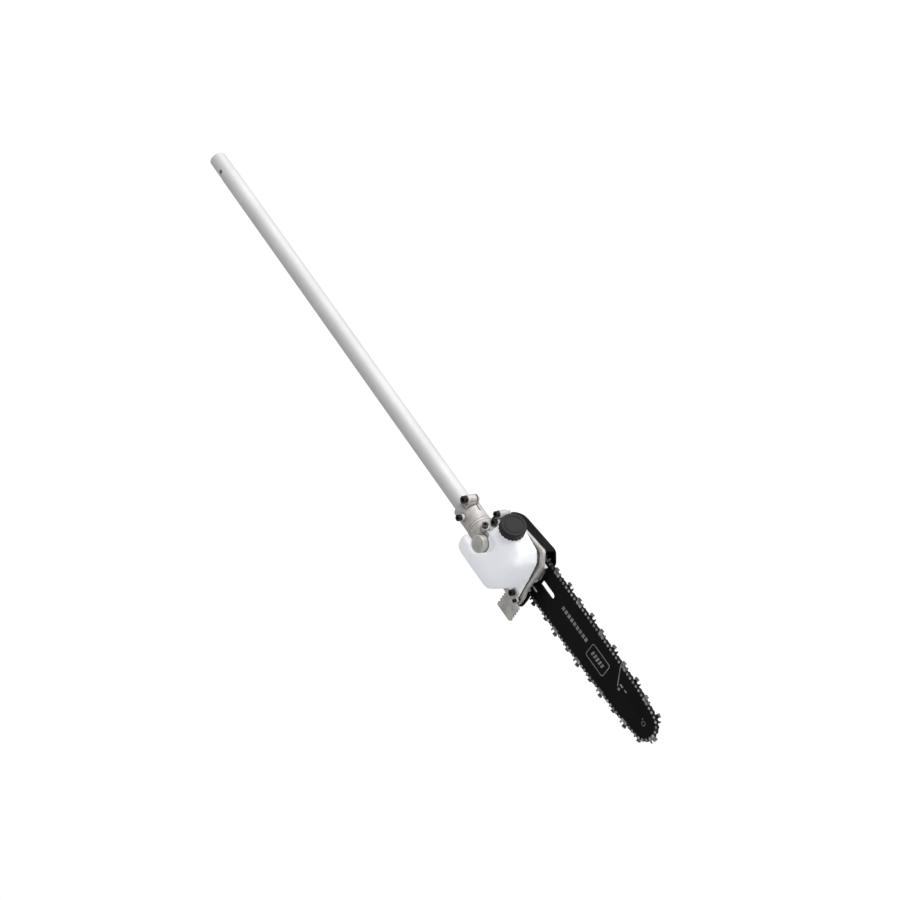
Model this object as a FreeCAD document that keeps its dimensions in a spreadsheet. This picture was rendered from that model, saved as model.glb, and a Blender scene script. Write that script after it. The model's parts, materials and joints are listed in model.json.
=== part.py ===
import FreeCAD, Part
import math
import os

import Sketcher
from FreeCAD import Placement, Rotation, Vector

# Chain-saw head on a one-inch tube, the end attachment of a split-shaft pole saw.
#
# Frame, in millimetres: +X runs along the tube from its free end to the tip of the guide bar,
# +Z is up as the saw is held, and +Y is the side of the sprocket cover. The origin is the
# centre of the tube's free end, which plugs into the power head's coupler.

doc = FreeCAD.newDocument("pole_saw_head")
sheet = doc.addObject("Spreadsheet::Sheet", "Sizes")

PIECES = []
TURN = 360.0


# ---------------------------------------------------------------------------
# Sizes: a number kept together with the sheet expression that gives it
# ---------------------------------------------------------------------------
class Size:
    """A length or count with the spreadsheet expression behind it."""

    def __init__(self, value, text):
        self.value = float(value)
        self.text = text

    def __add__(self, other):
        other = as_size(other)
        return Size(self.value + other.value, "(%s + %s)" % (self.text, other.text))

    def __sub__(self, other):
        other = as_size(other)
        return Size(self.value - other.value, "(%s - %s)" % (self.text, other.text))

    def __mul__(self, other):
        other = as_size(other)
        return Size(self.value * other.value, "(%s * %s)" % (self.text, other.text))

    def __truediv__(self, other):
        other = as_size(other)
        return Size(self.value / other.value, "(%s / %s)" % (self.text, other.text))

    def __neg__(self):
        return Size(-self.value, "(0 - %s)" % self.text)

    def __radd__(self, other):
        return as_size(other) + self

    def __rsub__(self, other):
        return as_size(other) - self

    def __rmul__(self, other):
        return as_size(other) * self


def as_size(number):
    """Wrap a plain number as a Size; a Size passes through."""
    if isinstance(number, Size):
        return number
    return Size(number, "%.6f" % number)


class Dimensions:
    """Driving dimensions, one attribute for each alias in the sheet."""


dim = Dimensions()

DRIVING = (
    # tube and drive shaft
    ("tube_od", 25.4, "outside diameter of the one-inch tube"),
    ("tube_wall", 1.6, "tube wall"),
    ("tube_free", 683.0, "tube showing between its free end and the gear case"),
    ("tube_seat", 30.0, "tube held inside the gear case"),
    ("swage_od", 24.6, "reduced end that enters the coupler"),
    ("swage_run", 35.0, "length of the reduced end"),
    ("lock_hole_d", 6.4, "locking button hole"),
    ("lock_hole_x", 28.5, "locking button hole from the free end"),
    ("shaft_d", 6.35, "solid drive shaft"),
    ("shaft_square", 4.6, "square ends of the drive shaft"),
    ("square_run", 22.0, "length of the free square end"),
    ("shaft_recess", 6.0, "drive shaft end behind the tube end"),
    ("bush_run", 24.0, "length of one shaft bushing"),
    ("bush_pitch", 180.0, "spacing of the shaft bushings"),
    # gear case
    ("out_x", 745.0, "output shaft axis from the tube's free end"),
    ("case_od", 34.4, "gear case sleeve"),
    ("chamber_od", 36.0, "gear chamber across the output shaft"),
    ("chamber_id", 27.2, "inside of the gear chamber"),
    ("boss_od", 22.6, "rear bearing boss"),
    ("boss_face", 24.0, "rear bearing boss end, on the tank side"),
    ("chamber_back", 14.0, "chamber end, on the tank side"),
    ("case_front", 22.0, "gear case front face, on the bar side"),
    # bevel gears
    ("pinion_teeth", 12, "teeth on the bevel pinion"),
    ("gear_teeth", 16, "teeth on the bevel gear"),
    ("bevel_module", 1.25, "bevel module at the large end"),
    ("bevel_face", 4.5, "face width of the bevel teeth"),
    # chain and bar
    ("bar_y", 37.5, "middle plane of the bar and chain"),
    ("bar_thick", 3.4, "guide bar thickness"),
    ("groove_w", 1.36, "bar groove and core thickness"),
    ("rail_drop", 2.6, "chain rivets above the bar rail"),
    ("groove_deep", 5.2, "bar groove depth"),
    ("rivet_gap", 6.35, "distance between neighbouring chain rivets"),
    ("drive_links", 58, "drive links in the chain loop"),
    ("sprocket_teeth", 10, "teeth on the drive sprocket"),
    ("nose_teeth", 10, "teeth on the nose sprocket"),
    ("stud_d", 8.0, "bar stud"),
    ("slot_w", 8.3, "bar slot width"),
    ("slot_z", 0.6, "height of the bar slot's centre line"),
    # drive housing, tank and cover
    ("house_back", 19.5, "drive housing face towards the tank"),
    ("flange_y", 24.4, "drive housing flange, where the sprocket cover meets it"),
    ("rim_y", 33.4, "drive housing body inside the sprocket cover"),
    ("pad_y", 34.8, "bar pad face"),
    ("front_x", 816.6, "front edge of the drive housing beside the bar"),
    ("foot_x", 820.8, "front edge of the housing's foot, which carries the bumper"),
    ("block_x", 816.4, "front of the ribbed block beside the bar"),
    ("tank_face", 27.0, "tank's outer face, on the tank side of the tube"),
    ("tank_wall", 2.2, "oil tank wall"),
    ("tank_back", 18.0, "tank flange face against its gasket"),
    ("tank_low", 36.5, "bottom of the tank below the tube axis"),
    ("tank_high", 43.0, "top of the tank above the tube axis"),
    ("cover_y", 51.0, "outer face of the sprocket cover"),
    ("cover_wall", 2.4, "sprocket cover wall"),
    ("cover_arc", 34.0, "round rear end of the cover about the sprocket"),
    ("cap_d", 34.6, "oil cap"),
    ("cap_tall", 11.5, "oil cap height"),
    ("neck_d", 26.0, "filler neck"),
    ("neck_bore", 20.0, "filler opening"),
)


def fill_sheet():
    """Write the driving dimensions into the sheet and onto dim."""
    for row, (alias, value, note) in enumerate(DRIVING, start=1):
        sheet.set("A%d" % row, "%g" % value)
        sheet.set("B%d" % row, note)
        sheet.setAlias("A%d" % row, alias)
        setattr(dim, alias, Size(value, "Sizes." + alias))


fill_sheet()
doc.recompute()

# ---------------------------------------------------------------------------
# Making and placing document objects
# ---------------------------------------------------------------------------
TURN_TO = {
    "x": Rotation(Vector(0, 0, 1), Vector(1, 0, 0)),
    "y": Rotation(Vector(0, 0, 1), Vector(0, 1, 0)),
    "z": Rotation(),
}


def bind(obj, prop, amount):
    """Set a property and, where it comes from the sheet, bind it."""
    amount = as_size(amount)
    if "Sizes." in amount.text:
        obj.setExpression(prop, amount.text)


def place(obj, at, rotation=Rotation()):
    """Put an object at a point whose coordinates may come from the sheet."""
    point = [as_size(c) for c in at]
    obj.Placement = Placement(Vector(*[c.value for c in point]), rotation)
    for letter, c in zip("xyz", point):
        bind(obj, "Placement.Base." + letter, c)


def rod(name, radius, length, at, along="x", rotation=None):
    """A cylinder that starts at a point and runs along an axis."""
    obj = doc.addObject("Part::Cylinder", name)
    obj.Radius = as_size(radius).value
    obj.Height = as_size(length).value
    bind(obj, "Radius", radius)
    bind(obj, "Height", length)
    place(obj, at, rotation if rotation is not None else TURN_TO[along])
    return obj


def cone(name, radius_a, radius_b, length, at, along="x", rotation=None):
    """A frustum that starts at a point and runs along an axis."""
    obj = doc.addObject("Part::Cone", name)
    obj.Radius1 = as_size(radius_a).value
    obj.Radius2 = as_size(radius_b).value
    obj.Height = as_size(length).value
    bind(obj, "Radius1", radius_a)
    bind(obj, "Radius2", radius_b)
    bind(obj, "Height", length)
    place(obj, at, rotation if rotation is not None else TURN_TO[along])
    return obj


def block(name, low, high):
    """A box given by its lowest and highest corners."""
    obj = doc.addObject("Part::Box", name)
    for prop, a, b in zip(("Length", "Width", "Height"), low, high):
        extent = as_size(b) - as_size(a)
        setattr(obj, prop, extent.value)
        bind(obj, prop, extent)
    place(obj, low)
    return obj


def fuse(name, objects):
    """Union of several objects."""
    obj = doc.addObject("Part::MultiFuse", name)
    obj.Shapes = objects
    return obj


def cut(name, base, tools):
    """Base less every tool."""
    obj = doc.addObject("Part::Cut", name)
    obj.Base = base
    obj.Tool = tools[0] if len(tools) == 1 else fuse(name + "_tools", tools)
    return obj


def group(name, objects):
    """Separate solids kept in one node."""
    obj = doc.addObject("Part::Compound", name)
    obj.Links = objects
    return obj


def ring(name, outer, inner, length, at, along="x", rotation=None):
    """A round sleeve."""
    body = rod(name + "_outside", outer, length, at, along, rotation)
    hole = rod(name + "_bore", inner, length, at, along, rotation)
    return cut(name, body, [hole])


def shaped(name, shape):
    """A piece whose form neither a sketch nor a primitive gives."""
    obj = doc.addObject("Part::Feature", name)
    obj.Shape = shape
    return obj


def piece(label, obj):
    """Name a finished sub-part."""
    obj.Label = label
    PIECES.append(obj)
    return obj


def origin_plane(body, role):
    """One of a body's own origin planes."""
    for feature in body.Origin.OriginFeatures:
        if feature.Role == role:
            return feature
    raise ValueError("no plane " + role)


def outline_sketch(body, name, points, y_at):
    """A closed polygon in the XZ plane at a given y, each corner bound to the sheet."""
    sketch = body.newObject("Sketcher::SketchObject", name)
    sketch.AttachmentSupport = (origin_plane(body, "XZ_Plane"), "")
    sketch.MapMode = "FlatFace"
    y_at = as_size(y_at)
    sketch.AttachmentOffset = Placement(Vector(0, 0, -y_at.value), Rotation())
    bind(sketch, "AttachmentOffset.Base.z", -y_at)
    corners = [(as_size(x), as_size(z)) for x, z in points]
    flat = [Vector(x.value, z.value, 0) for x, z in corners]
    count = len(flat)
    for i in range(count):
        sketch.addGeometry(Part.LineSegment(flat[i], flat[(i + 1) % count]), False)
    for i in range(count):
        sketch.addConstraint(Sketcher.Constraint("Coincident", i, 2, (i + 1) % count, 1))
    for i, (x, z) in enumerate(corners):
        for kind, axis_line, amount in (("DistanceX", -2, x), ("DistanceY", -1, z)):
            if abs(amount.value) < 1e-9:
                sketch.addConstraint(Sketcher.Constraint("PointOnObject", i, 1, axis_line))
                continue
            at = sketch.addConstraint(Sketcher.Constraint(kind, -1, 1, i, 1, amount.value))
            bind(sketch, "Constraints[%d]" % at, amount)
    return sketch


def plate(name, points, y_low, y_high, radii=()):
    """A plate in the XZ plane between two y values, with some corners rounded.

    radii pairs a corner number with the radius of its fillet.
    """
    body = doc.addObject("PartDesign::Body", name)
    sketch = outline_sketch(body, name + "_outline", points, y_high)
    pad = body.newObject("PartDesign::Pad", name + "_pad")
    pad.Profile = sketch
    thickness = as_size(y_high) - as_size(y_low)
    pad.Length = thickness.value
    bind(pad, "Length", thickness)
    sketch.Visibility = False
    doc.recompute()
    for number, (corner, radius) in enumerate(radii):
        x, z = [as_size(c).value for c in points[corner]]
        tip = body.Tip
        edges = []
        for i, edge in enumerate(tip.Shape.Edges, start=1):
            ends = [v.Point for v in edge.Vertexes]
            if len(ends) == 2 and all(math.hypot(p.x - x, p.z - z) < 1e-4 for p in ends):
                edges.append("Edge%d" % i)
        fillet = body.newObject("PartDesign::Fillet", "%s_corner_%d" % (name, number))
        fillet.Base = (tip, edges)
        fillet.Radius = as_size(radius).value
        bind(fillet, "Radius", radius)
        body.Tip = fillet
        doc.recompute()
    return body


def socket_screw(name, at, along, sign, head_r, head_tall, shank_r, shank_run):
    """A socket-head screw: at is under its head, and its shank runs sign-wards."""
    at = [as_size(c) for c in at]
    axis = "xyz".index(along)

    def shifted(amount):
        moved = list(at)
        moved[axis] = moved[axis] + amount
        return moved

    head_start = shifted(-head_tall if sign > 0 else 0.0)
    shank_start = shifted(0.0 if sign > 0 else -shank_run)
    socket_start = shifted(-head_tall if sign > 0 else head_tall * 0.4)
    head = rod(name + "_head", head_r, head_tall, head_start, along)
    shank = rod(name + "_shank", shank_r, shank_run, shank_start, along)
    socket = doc.addObject("Part::Prism", name + "_socket")
    socket.Polygon = 6
    socket.Circumradius = head_r * 0.56
    socket.Height = head_tall * 0.6
    place(socket, socket_start, TURN_TO[along])
    return cut(name, fuse(name + "_blank", [head, shank]), [socket])


# ---------------------------------------------------------------------------
# Derived stations
# ---------------------------------------------------------------------------
tube_r = dim.tube_od / 2
tube_bore = tube_r - dim.tube_wall
tube_end = dim.tube_free + dim.tube_seat
shaft_r = dim.shaft_d / 2
case_r = dim.case_od / 2
stud_r = dim.stud_d / 2
RUNNING = 0.05          # radial clearance of a running fit
PRESS_GAP = 0.02        # radial room between a fixed ring and its seat

pinion_bearing_x = (dim.tube_free + 32.0, dim.tube_free + 40.0)
BEARING_SMALL = {"bore": 10.0, "outer": 22.0, "wide": 6.0, "balls": 9}
BEARING_REAR = {"bore": 8.0, "outer": 16.0, "wide": 5.0, "balls": 8}
BEARING_FRONT = {"bore": 12.0, "outer": 28.0, "wide": 8.0, "balls": 8}
rear_bearing_y = -19.0
front_bearing_y = 12.0
stud_x = (774.0, 800.0)


# ---------------------------------------------------------------------------
# Tube, bushings and drive shaft
# ---------------------------------------------------------------------------
def make_pole_tube():
    swage = rod("tube_swage", dim.swage_od / 2, dim.swage_run, (0, 0, 0))
    step = cone("tube_step", dim.swage_od / 2, tube_r, 1.5, (dim.swage_run, 0, 0))
    main = rod("tube_main", tube_r, tube_end - dim.swage_run - 1.5, (dim.swage_run + 1.5, 0, 0))
    bore = rod("tube_bore", tube_bore, tube_end, (0, 0, 0))
    lock = rod("tube_lock_hole", dim.lock_hole_d / 2, tube_r, (dim.lock_hole_x, -tube_r, 0), "y")
    locate = rod("tube_locating_hole", 2.6, tube_r, (dim.tube_free + LOCATING_RUN, -tube_r, 0), "y")
    wall = fuse("tube_wall_solid", [swage, step, main])
    return piece("pole_tube", cut("pole_tube", wall, [bore, lock, locate]))


def make_shaft_bushings():
    rings = []
    for i in range(4):
        start = 60.0 + dim.bush_pitch * i
        rings.append(ring("bushing_%d" % (i + 1), tube_bore, shaft_r + RUNNING, dim.bush_run,
                          (start, 0, 0)))
    return piece("shaft_bushings", group("shaft_bushings", rings))


def make_drive_shaft():
    free_end = dim.shaft_recess
    round_start = free_end + dim.square_run
    head_square = dim.tube_free + 18.0
    middle = rod("shaft_round", shaft_r, head_square - round_start, (round_start, 0, 0))
    half = dim.shaft_square / 2
    near = block("shaft_free_square", (free_end, -half, -half), (round_start + 0.5, half, half))
    far = block("shaft_head_square", (head_square - 0.5, -half, -half), (tube_end, half, half))
    return piece("drive_shaft", fuse("drive_shaft", [near, middle, far]))


# ---------------------------------------------------------------------------
# Bevel gears: straight teeth whose lines meet where the two axes cross
# ---------------------------------------------------------------------------
PRESSURE_SLOPE = math.tan(math.radians(14.0))
TOOTH_SHARE = 0.34      # tooth thickness over tooth pitch, leaving room to run


def bevel_solid(teeth, mate_teeth, hub_radius, hub_run, bore_radius):
    """A bevel gear with its apex at the origin and its back towards +Z."""
    module = dim.bevel_module.value
    pitch_r = module * teeth / 2
    back_z = module * mate_teeth / 2
    cone_run = math.hypot(pitch_r, back_z)
    pitch_angle = math.atan2(pitch_r, back_z)
    tip_r = back_z * math.tan(pitch_angle + math.atan(0.85 * module / cone_run))
    root_r = back_z * math.tan(pitch_angle - math.atan(1.15 * module / cone_run))
    front = 1.0 - dim.bevel_face.value / cone_run
    half = TOOTH_SHARE * math.pi * module / 2
    blank = Part.makeCone(root_r * front, root_r, back_z * (1 - front), Vector(0, 0, back_z * front))
    solid = blank.fuse(Part.makeCylinder(hub_radius, hub_run, Vector(0, 0, back_z)))
    levels = (
        (root_r - 0.5, half + PRESSURE_SLOPE * (pitch_r - root_r + 0.5)),
        (tip_r, half - PRESSURE_SLOPE * (tip_r - pitch_r)),
    )
    sections = []
    for scale in (front, 1.0):
        (low, low_half), (high, high_half) = levels
        corners = [Vector(low, -low_half, back_z), Vector(high, -high_half, back_z),
                   Vector(high, high_half, back_z), Vector(low, low_half, back_z)]
        corners = [c * scale for c in corners]
        sections.append(Part.makePolygon(corners + corners[:1]))
    tooth = Part.makeLoft(sections, True, True)
    ring_of_teeth = []
    for i in range(int(teeth)):
        turned = tooth.copy()
        turned.rotate(Vector(0, 0, 0), Vector(0, 0, 1), TURN * i / teeth)
        ring_of_teeth.append(turned)
    solid = solid.multiFuse(ring_of_teeth)
    if bore_radius:
        solid = solid.cut(Part.makeCylinder(bore_radius, 80, Vector(0, 0, -20)))
    return solid.removeSplitter()


def make_bevel_pinion():
    """Pinion and its hollow shaft; a gap between its teeth faces the gear at rest."""
    teeth = dim.pinion_teeth.value
    mate = dim.gear_teeth.value
    back_z = dim.bevel_module.value * mate / 2
    solid = bevel_solid(teeth, mate, 5.8, 4.0, 0.0)
    solid.rotate(Vector(0, 0, 0), Vector(0, 0, 1), TURN / teeth / 2)
    shaft_from = dim.out_x.value - back_z - 4.0
    shaft_to = dim.tube_free.value + 19.5
    solid = solid.fuse(Part.makeCylinder(5.0, shaft_from - shaft_to, Vector(0, 0, back_z + 4.0)))
    side = dim.shaft_square.value + 0.1
    run = tube_end.value - shaft_to + 0.5
    top = back_z + 4.0 + shaft_from - shaft_to
    socket = Part.makeBox(side, side, run, Vector(-side / 2, -side / 2, top - run))
    solid = solid.cut(socket).removeSplitter()
    obj = shaped("bevel_pinion", solid)
    # local +Z becomes -X, and local +X becomes +Y, the side of the gear
    obj.Placement = Placement(Vector(dim.out_x.value, 0, 0),
                              Rotation(Vector(0, 1, 0), Vector(0, 0, -1), Vector(-1, 0, 0), "ZXY"))
    return piece("bevel_pinion", obj)


def make_bevel_gear():
    """Gear on the output shaft; one of its teeth faces the pinion at rest."""
    teeth = dim.gear_teeth.value
    solid = bevel_solid(teeth, dim.pinion_teeth.value, 8.0, 4.2, 4.0)
    obj = shaped("bevel_gear", solid)
    # local +Z becomes +Y, and local +X becomes -X, the side of the pinion
    obj.Placement = Placement(Vector(dim.out_x.value, 0, 0),
                              Rotation(Vector(-1, 0, 0), Vector(0, 0, 1), Vector(0, 1, 0), "ZXY"))
    return piece("bevel_gear", obj)


# ---------------------------------------------------------------------------
# Ball bearings, each an inner ring, an outer ring and its balls
# ---------------------------------------------------------------------------
def bearing_parts(name, kind, at, along):
    """Rings and balls of one bearing that starts at a point."""
    inner_r = kind["bore"] / 2
    outer_r = kind["outer"] / 2
    wall = (outer_r - inner_r) * 0.31
    mid_r = (inner_r + outer_r) / 2
    ball_r = (outer_r - inner_r) / 2 - wall - RUNNING
    inner = ring(name + "_inner", inner_r + wall, inner_r, kind["wide"], at, along)
    outer = ring(name + "_outer", outer_r - PRESS_GAP, outer_r - wall, kind["wide"], at, along)
    centre = [as_size(c) for c in at]
    axis = "xyz".index(along)
    centre[axis] = centre[axis] + kind["wide"] / 2
    others = [i for i in range(3) if i != axis]
    balls = []
    for i in range(kind["balls"]):
        angle = math.tau * i / kind["balls"]
        spot = list(centre)
        spot[others[0]] = spot[others[0]] + mid_r * math.cos(angle)
        spot[others[1]] = spot[others[1]] + mid_r * math.sin(angle)
        ball = doc.addObject("Part::Sphere", "%s_ball_%d" % (name, i + 1))
        ball.Radius = ball_r
        place(ball, spot)
        balls.append(ball)
    return inner, outer, balls


def make_bearings():
    inners = []
    outers = []
    balls = []
    for number, x in enumerate(pinion_bearing_x):
        made = bearing_parts("pinion_bearing_%d" % (number + 1), BEARING_SMALL, (x, 0, 0), "x")
        inners.append(made[0])
        outers.append(made[1])
        balls.extend(made[2])
    piece("pinion_bearing_inner_rings", group("pinion_bearing_inner_rings", inners))
    piece("pinion_bearing_outer_rings", group("pinion_bearing_outer_rings", outers))
    piece("pinion_bearing_balls", group("pinion_bearing_balls", balls))
    for label, kind, y in (("rear_bearing", BEARING_REAR, rear_bearing_y),
                           ("front_bearing", BEARING_FRONT, front_bearing_y)):
        made = bearing_parts(label, kind, (dim.out_x, y, 0), "y")
        piece(label + "_inner_ring", made[0])
        piece(label + "_outer_ring", made[1])
        piece(label + "_balls", group(label + "_balls", made[2]))


def make_circlip():
    """Spring ring that keeps the pinion bearings in the sleeve."""
    x = dim.tube_free + 30.6
    body = ring("circlip_ring", 11.5, 9.6, 1.1, (x, 0, 0))
    gap = block("circlip_gap", (x - 0.1, -2.5, 0), (x + 1.3, 2.5, 13.0))
    return piece("pinion_circlip", cut("pinion_circlip", body, [gap]))


# ---------------------------------------------------------------------------
# Gear case: clamp sleeve, gear chamber and rear bearing boss in one casting
# ---------------------------------------------------------------------------
PINCH_X = 688.0
PINCH_Z = 20.5
CASE_LUGS = ((728.0, 33.5, 5.0), (731.5, 23.0, 4.6))
LUG_SEAT = 3.5           # screw seat of the lugs, and the full-size run behind it
LUG_RUN = 13.5
LUG_STEP = 1.8           # radius lost in the neck towards the drive housing
LOCATING_RUN = 17.0      # locating screw, from the start of the gear case
LOCATING_SEAT = 21.3
GREASE_FOOT = (733.4, -10.4, 12.6)


def make_gearcase():
    start = dim.tube_free
    neck_end = dim.out_x + 2.0
    solids = [
        rod("case_sleeve", case_r, neck_end - start, (start, 0, 0)),
        rod("case_seam", case_r + 0.5, 1.6, (start + 34.0, 0, 0)),
        rod("case_chamber", dim.chamber_od / 2, dim.chamber_back + dim.case_front,
            (dim.out_x, -dim.chamber_back, 0), "y"),
        rod("case_boss", dim.boss_od / 2, dim.boss_face - dim.chamber_back + 1.0,
            (dim.out_x, -dim.boss_face, 0), "y"),
        rod("case_pinch_boss", 5.9, 19.5, (PINCH_X, -16.0, PINCH_Z), "y"),
        block("case_pinch_web", (PINCH_X - 5.0, -14.5, 8.0), (PINCH_X + 7.0, 3.5, PINCH_Z)),
        rod("case_locating_boss", 4.9, 10.5, (start + LOCATING_RUN, -LOCATING_SEAT, 0), "y"),
        rod("case_grease_boss", 5.4, 8.0, GREASE_FOOT, rotation=grease_rotation()),
        block("case_lug_web", (724.5, 8.0, 8.0), (735.0, dim.case_front, 32.0)),
    ]
    for i, (x, z, r) in enumerate(CASE_LUGS):
        solids.append(rod("case_lug_%d" % i, r, LUG_RUN, (x, LUG_SEAT, z), "y"))
        solids.append(rod("case_lug_neck_%d" % i, r - LUG_STEP, dim.case_front - LUG_SEAT,
                          (x, LUG_SEAT, z), "y"))
    tools = [
        rod("case_tube_bore", tube_r + PRESS_GAP, dim.tube_seat + 0.5, (start, 0, 0)),
        rod("case_bearing_bore", BEARING_SMALL["outer"] / 2, 18.0, (start + 29.0, 0, 0)),
        rod("case_clip_groove", 11.8, 1.3, (start + 30.5, 0, 0)),
        rod("case_throat", 9.6, 14.0, (start + 46.0, 0, 0)),
        rod("case_chamber_bore", dim.chamber_id / 2, 25.0, (dim.out_x, -12.9, 0), "y"),
        rod("case_front_bore", BEARING_FRONT["outer"] / 2, 14.0, (dim.out_x, front_bearing_y, 0), "y"),
        rod("case_rear_bore", BEARING_REAR["outer"] / 2, 7.0, (dim.out_x, rear_bearing_y - 0.2, 0), "y"),
        block("case_slit", (start - 1.0, -1.1, 5.0), (start + 22.0, 1.1, 40.0)),
        rod("case_pinch_hole", 3.0, 40.0, (PINCH_X, -20.0, PINCH_Z), "y"),
        rod("case_locating_hole", 2.5, 15.0, (start + LOCATING_RUN, -LOCATING_SEAT - 1.0, 0), "y"),
        rod("case_grease_hole", 3.0, 12.0, GREASE_FOOT, rotation=grease_rotation()),
    ]
    for i, (x, z, r) in enumerate(CASE_LUGS):
        tools.append(rod("case_lug_hole_%d" % i, 2.5, 30.0, (x, 0.0, z), "y"))
    return piece("gearcase", cut("gearcase", fuse("gearcase_solid", solids), tools))


def grease_rotation():
    """The grease plug stands on the upper quarter of the case, towards the tank side."""
    return Rotation(Vector(0, 0, 1), Vector(0.0, -0.5, 0.866))


def make_case_fasteners():
    piece("pinch_bolt", socket_screw("pinch_bolt", (PINCH_X, -16.0, PINCH_Z), "y", 1,
                                     5.0, 5.5, 3.0 - PRESS_GAP, 19.0))
    locating_at = (dim.tube_free + LOCATING_RUN, -LOCATING_SEAT, 0)
    piece("locating_screw", socket_screw("locating_screw", locating_at, "y", 1,
                                         4.25, 4.8, 2.5 - PRESS_GAP, 10.3))
    lean = grease_rotation()
    outward = lean.multVec(Vector(0, 0, 1))
    foot = Vector(*GREASE_FOOT)
    seat = foot + outward * 8.0
    thread = foot + outward * 3.0
    head = rod("grease_plug_head", 4.25, 4.0, (seat.x, seat.y, seat.z), rotation=lean)
    shank = rod("grease_plug_shank", 3.0 - PRESS_GAP, 5.5, (thread.x, thread.y, thread.z), rotation=lean)
    hex_at = seat + outward * 1.6
    socket = doc.addObject("Part::Prism", "grease_plug_socket")
    socket.Polygon = 6
    socket.Circumradius = 2.4
    socket.Height = 4.0
    place(socket, (hex_at.x, hex_at.y, hex_at.z), lean)
    piece("grease_plug", cut("grease_plug", fuse("grease_plug_blank", [head, shank]), [socket]))
    screws = []
    for i, (x, z, r) in enumerate(CASE_LUGS):
        screws.append(socket_screw("housing_screw_%d" % (i + 1), (x, LUG_SEAT, z), "y", 1,
                                   4.25, 5.0, 2.5 - PRESS_GAP, 20.4))
    piece("housing_screws", group("housing_screws", screws))


# ---------------------------------------------------------------------------
# Output shaft, worm, sprocket and what holds them
# ---------------------------------------------------------------------------
WORM_Y = 23.5
WORM_RUN = 7.4
WORM_LEAD = 3.0
WORM_PITCH_R = 6.0
WHEEL_TEETH = 8
PLUNGER_R = 2.2
BARREL_R = 4.2
WHEEL_PHASE = 2.5       # degrees, with the thread between two teeth at rest
wheel_pitch_r = WORM_LEAD * WHEEL_TEETH / math.tau
plunger_z = -(WORM_PITCH_R + wheel_pitch_r)
plunger_y = WORM_Y + WORM_RUN / 2


def make_output_shaft():
    x = dim.out_x
    steps = ((-19.0, 12.0, 4.0), (12.0, 21.0, 6.0), (21.0, 33.4, 4.9), (33.4, 46.0, 4.0))
    rods = []
    for i, (low, high, radius) in enumerate(steps):
        rods.append(rod("output_step_%d" % i, radius, high - low, (x, low, 0), "y"))
    groove = ring("output_clip_groove", 6.0, 3.4, 0.9, (x, 43.5, 0), "y")
    shaft = cut("output_shaft", fuse("output_shaft_blank", rods), [groove])
    return piece("output_shaft", shaft)


def make_output_seal():
    return piece("output_seal", ring("output_seal", 14.0 - PRESS_GAP, 6.0 + RUNNING, 0.8,
                                     (dim.out_x, 20.1, 0), "y"))


def make_pump_worm():
    """Single-start worm pressed on the output shaft."""
    core_r = WORM_PITCH_R - 1.0
    tip_r = WORM_PITCH_R + 0.5
    thread_run = WORM_RUN - 2.4
    helix = Part.makeHelix(WORM_LEAD, thread_run, core_r)
    half_root = 0.7
    half_tip = 0.35
    profile = Part.makePolygon([
        Vector(core_r - 0.3, 0, -half_root), Vector(tip_r, 0, -half_tip),
        Vector(tip_r, 0, half_tip), Vector(core_r - 0.3, 0, half_root),
        Vector(core_r - 0.3, 0, -half_root)])
    thread = Part.Wire(helix).makePipeShell([profile], True, True)
    core = Part.makeCylinder(core_r, WORM_RUN, Vector(0, 0, -1.2))
    solid = core.fuse(thread)
    solid = solid.cut(Part.makeCylinder(4.9, 40, Vector(0, 0, -20)))
    obj = shaped("pump_worm", solid)
    obj.Placement = Placement(Vector(dim.out_x.value, WORM_Y + 1.2, 0), TURN_TO["y"])
    return piece("pump_worm", obj)


def make_pump_plunger():
    """Toothed plunger that the worm turns; its flat end meters the oil."""
    tip_r = wheel_pitch_r + 0.5
    root_r = wheel_pitch_r - 0.9
    half = 0.45
    blank = Part.makeCylinder(root_r, 6.0, Vector(0, 0, -3.0))
    teeth = []
    for i in range(WHEEL_TEETH):
        corners = [Vector(root_r - 0.5, -half * 1.35, -3), Vector(tip_r, -half * 0.6, -3),
                   Vector(tip_r, half * 0.6, -3), Vector(root_r - 0.5, half * 1.35, -3)]
        face = Part.Face(Part.makePolygon(corners + corners[:1]))
        tooth = face.extrude(Vector(0, 0, 6))
        tooth.rotate(Vector(0, 0, 0), Vector(0, 0, 1), TURN * i / WHEEL_TEETH + WHEEL_PHASE)
        teeth.append(tooth)
    solid = blank.multiFuse(teeth)
    stem = Part.makeCylinder(PLUNGER_R, 32.0, Vector(0, 0, -5.0))
    flat = Part.makeBox(3.0, 6.0, 8.0, Vector(1.0, -3.0, 20.0))
    solid = solid.fuse(stem).cut(flat).removeSplitter()
    obj = shaped("pump_plunger", solid)
    obj.Placement = Placement(Vector(dim.out_x.value, plunger_y, plunger_z),
                              Rotation(Vector(0, 0, 1), Vector(0, 1, 0), Vector(1, 0, 0), "ZXY"))
    return piece("pump_plunger", obj)


def make_pump_body():
    start = dim.out_x + 8.0
    body = rod("pump_barrel", BARREL_R, 22.0, (start, plunger_y, plunger_z))
    bore = rod("pump_bore", PLUNGER_R + RUNNING, 20.0, (start, plunger_y, plunger_z))
    inlet = rod("pump_inlet", 1.2, 10.0, (start + 14.0, plunger_y, plunger_z - 10.0), "z")
    return piece("pump_body", cut("pump_body", body, [bore, inlet]))


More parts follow.
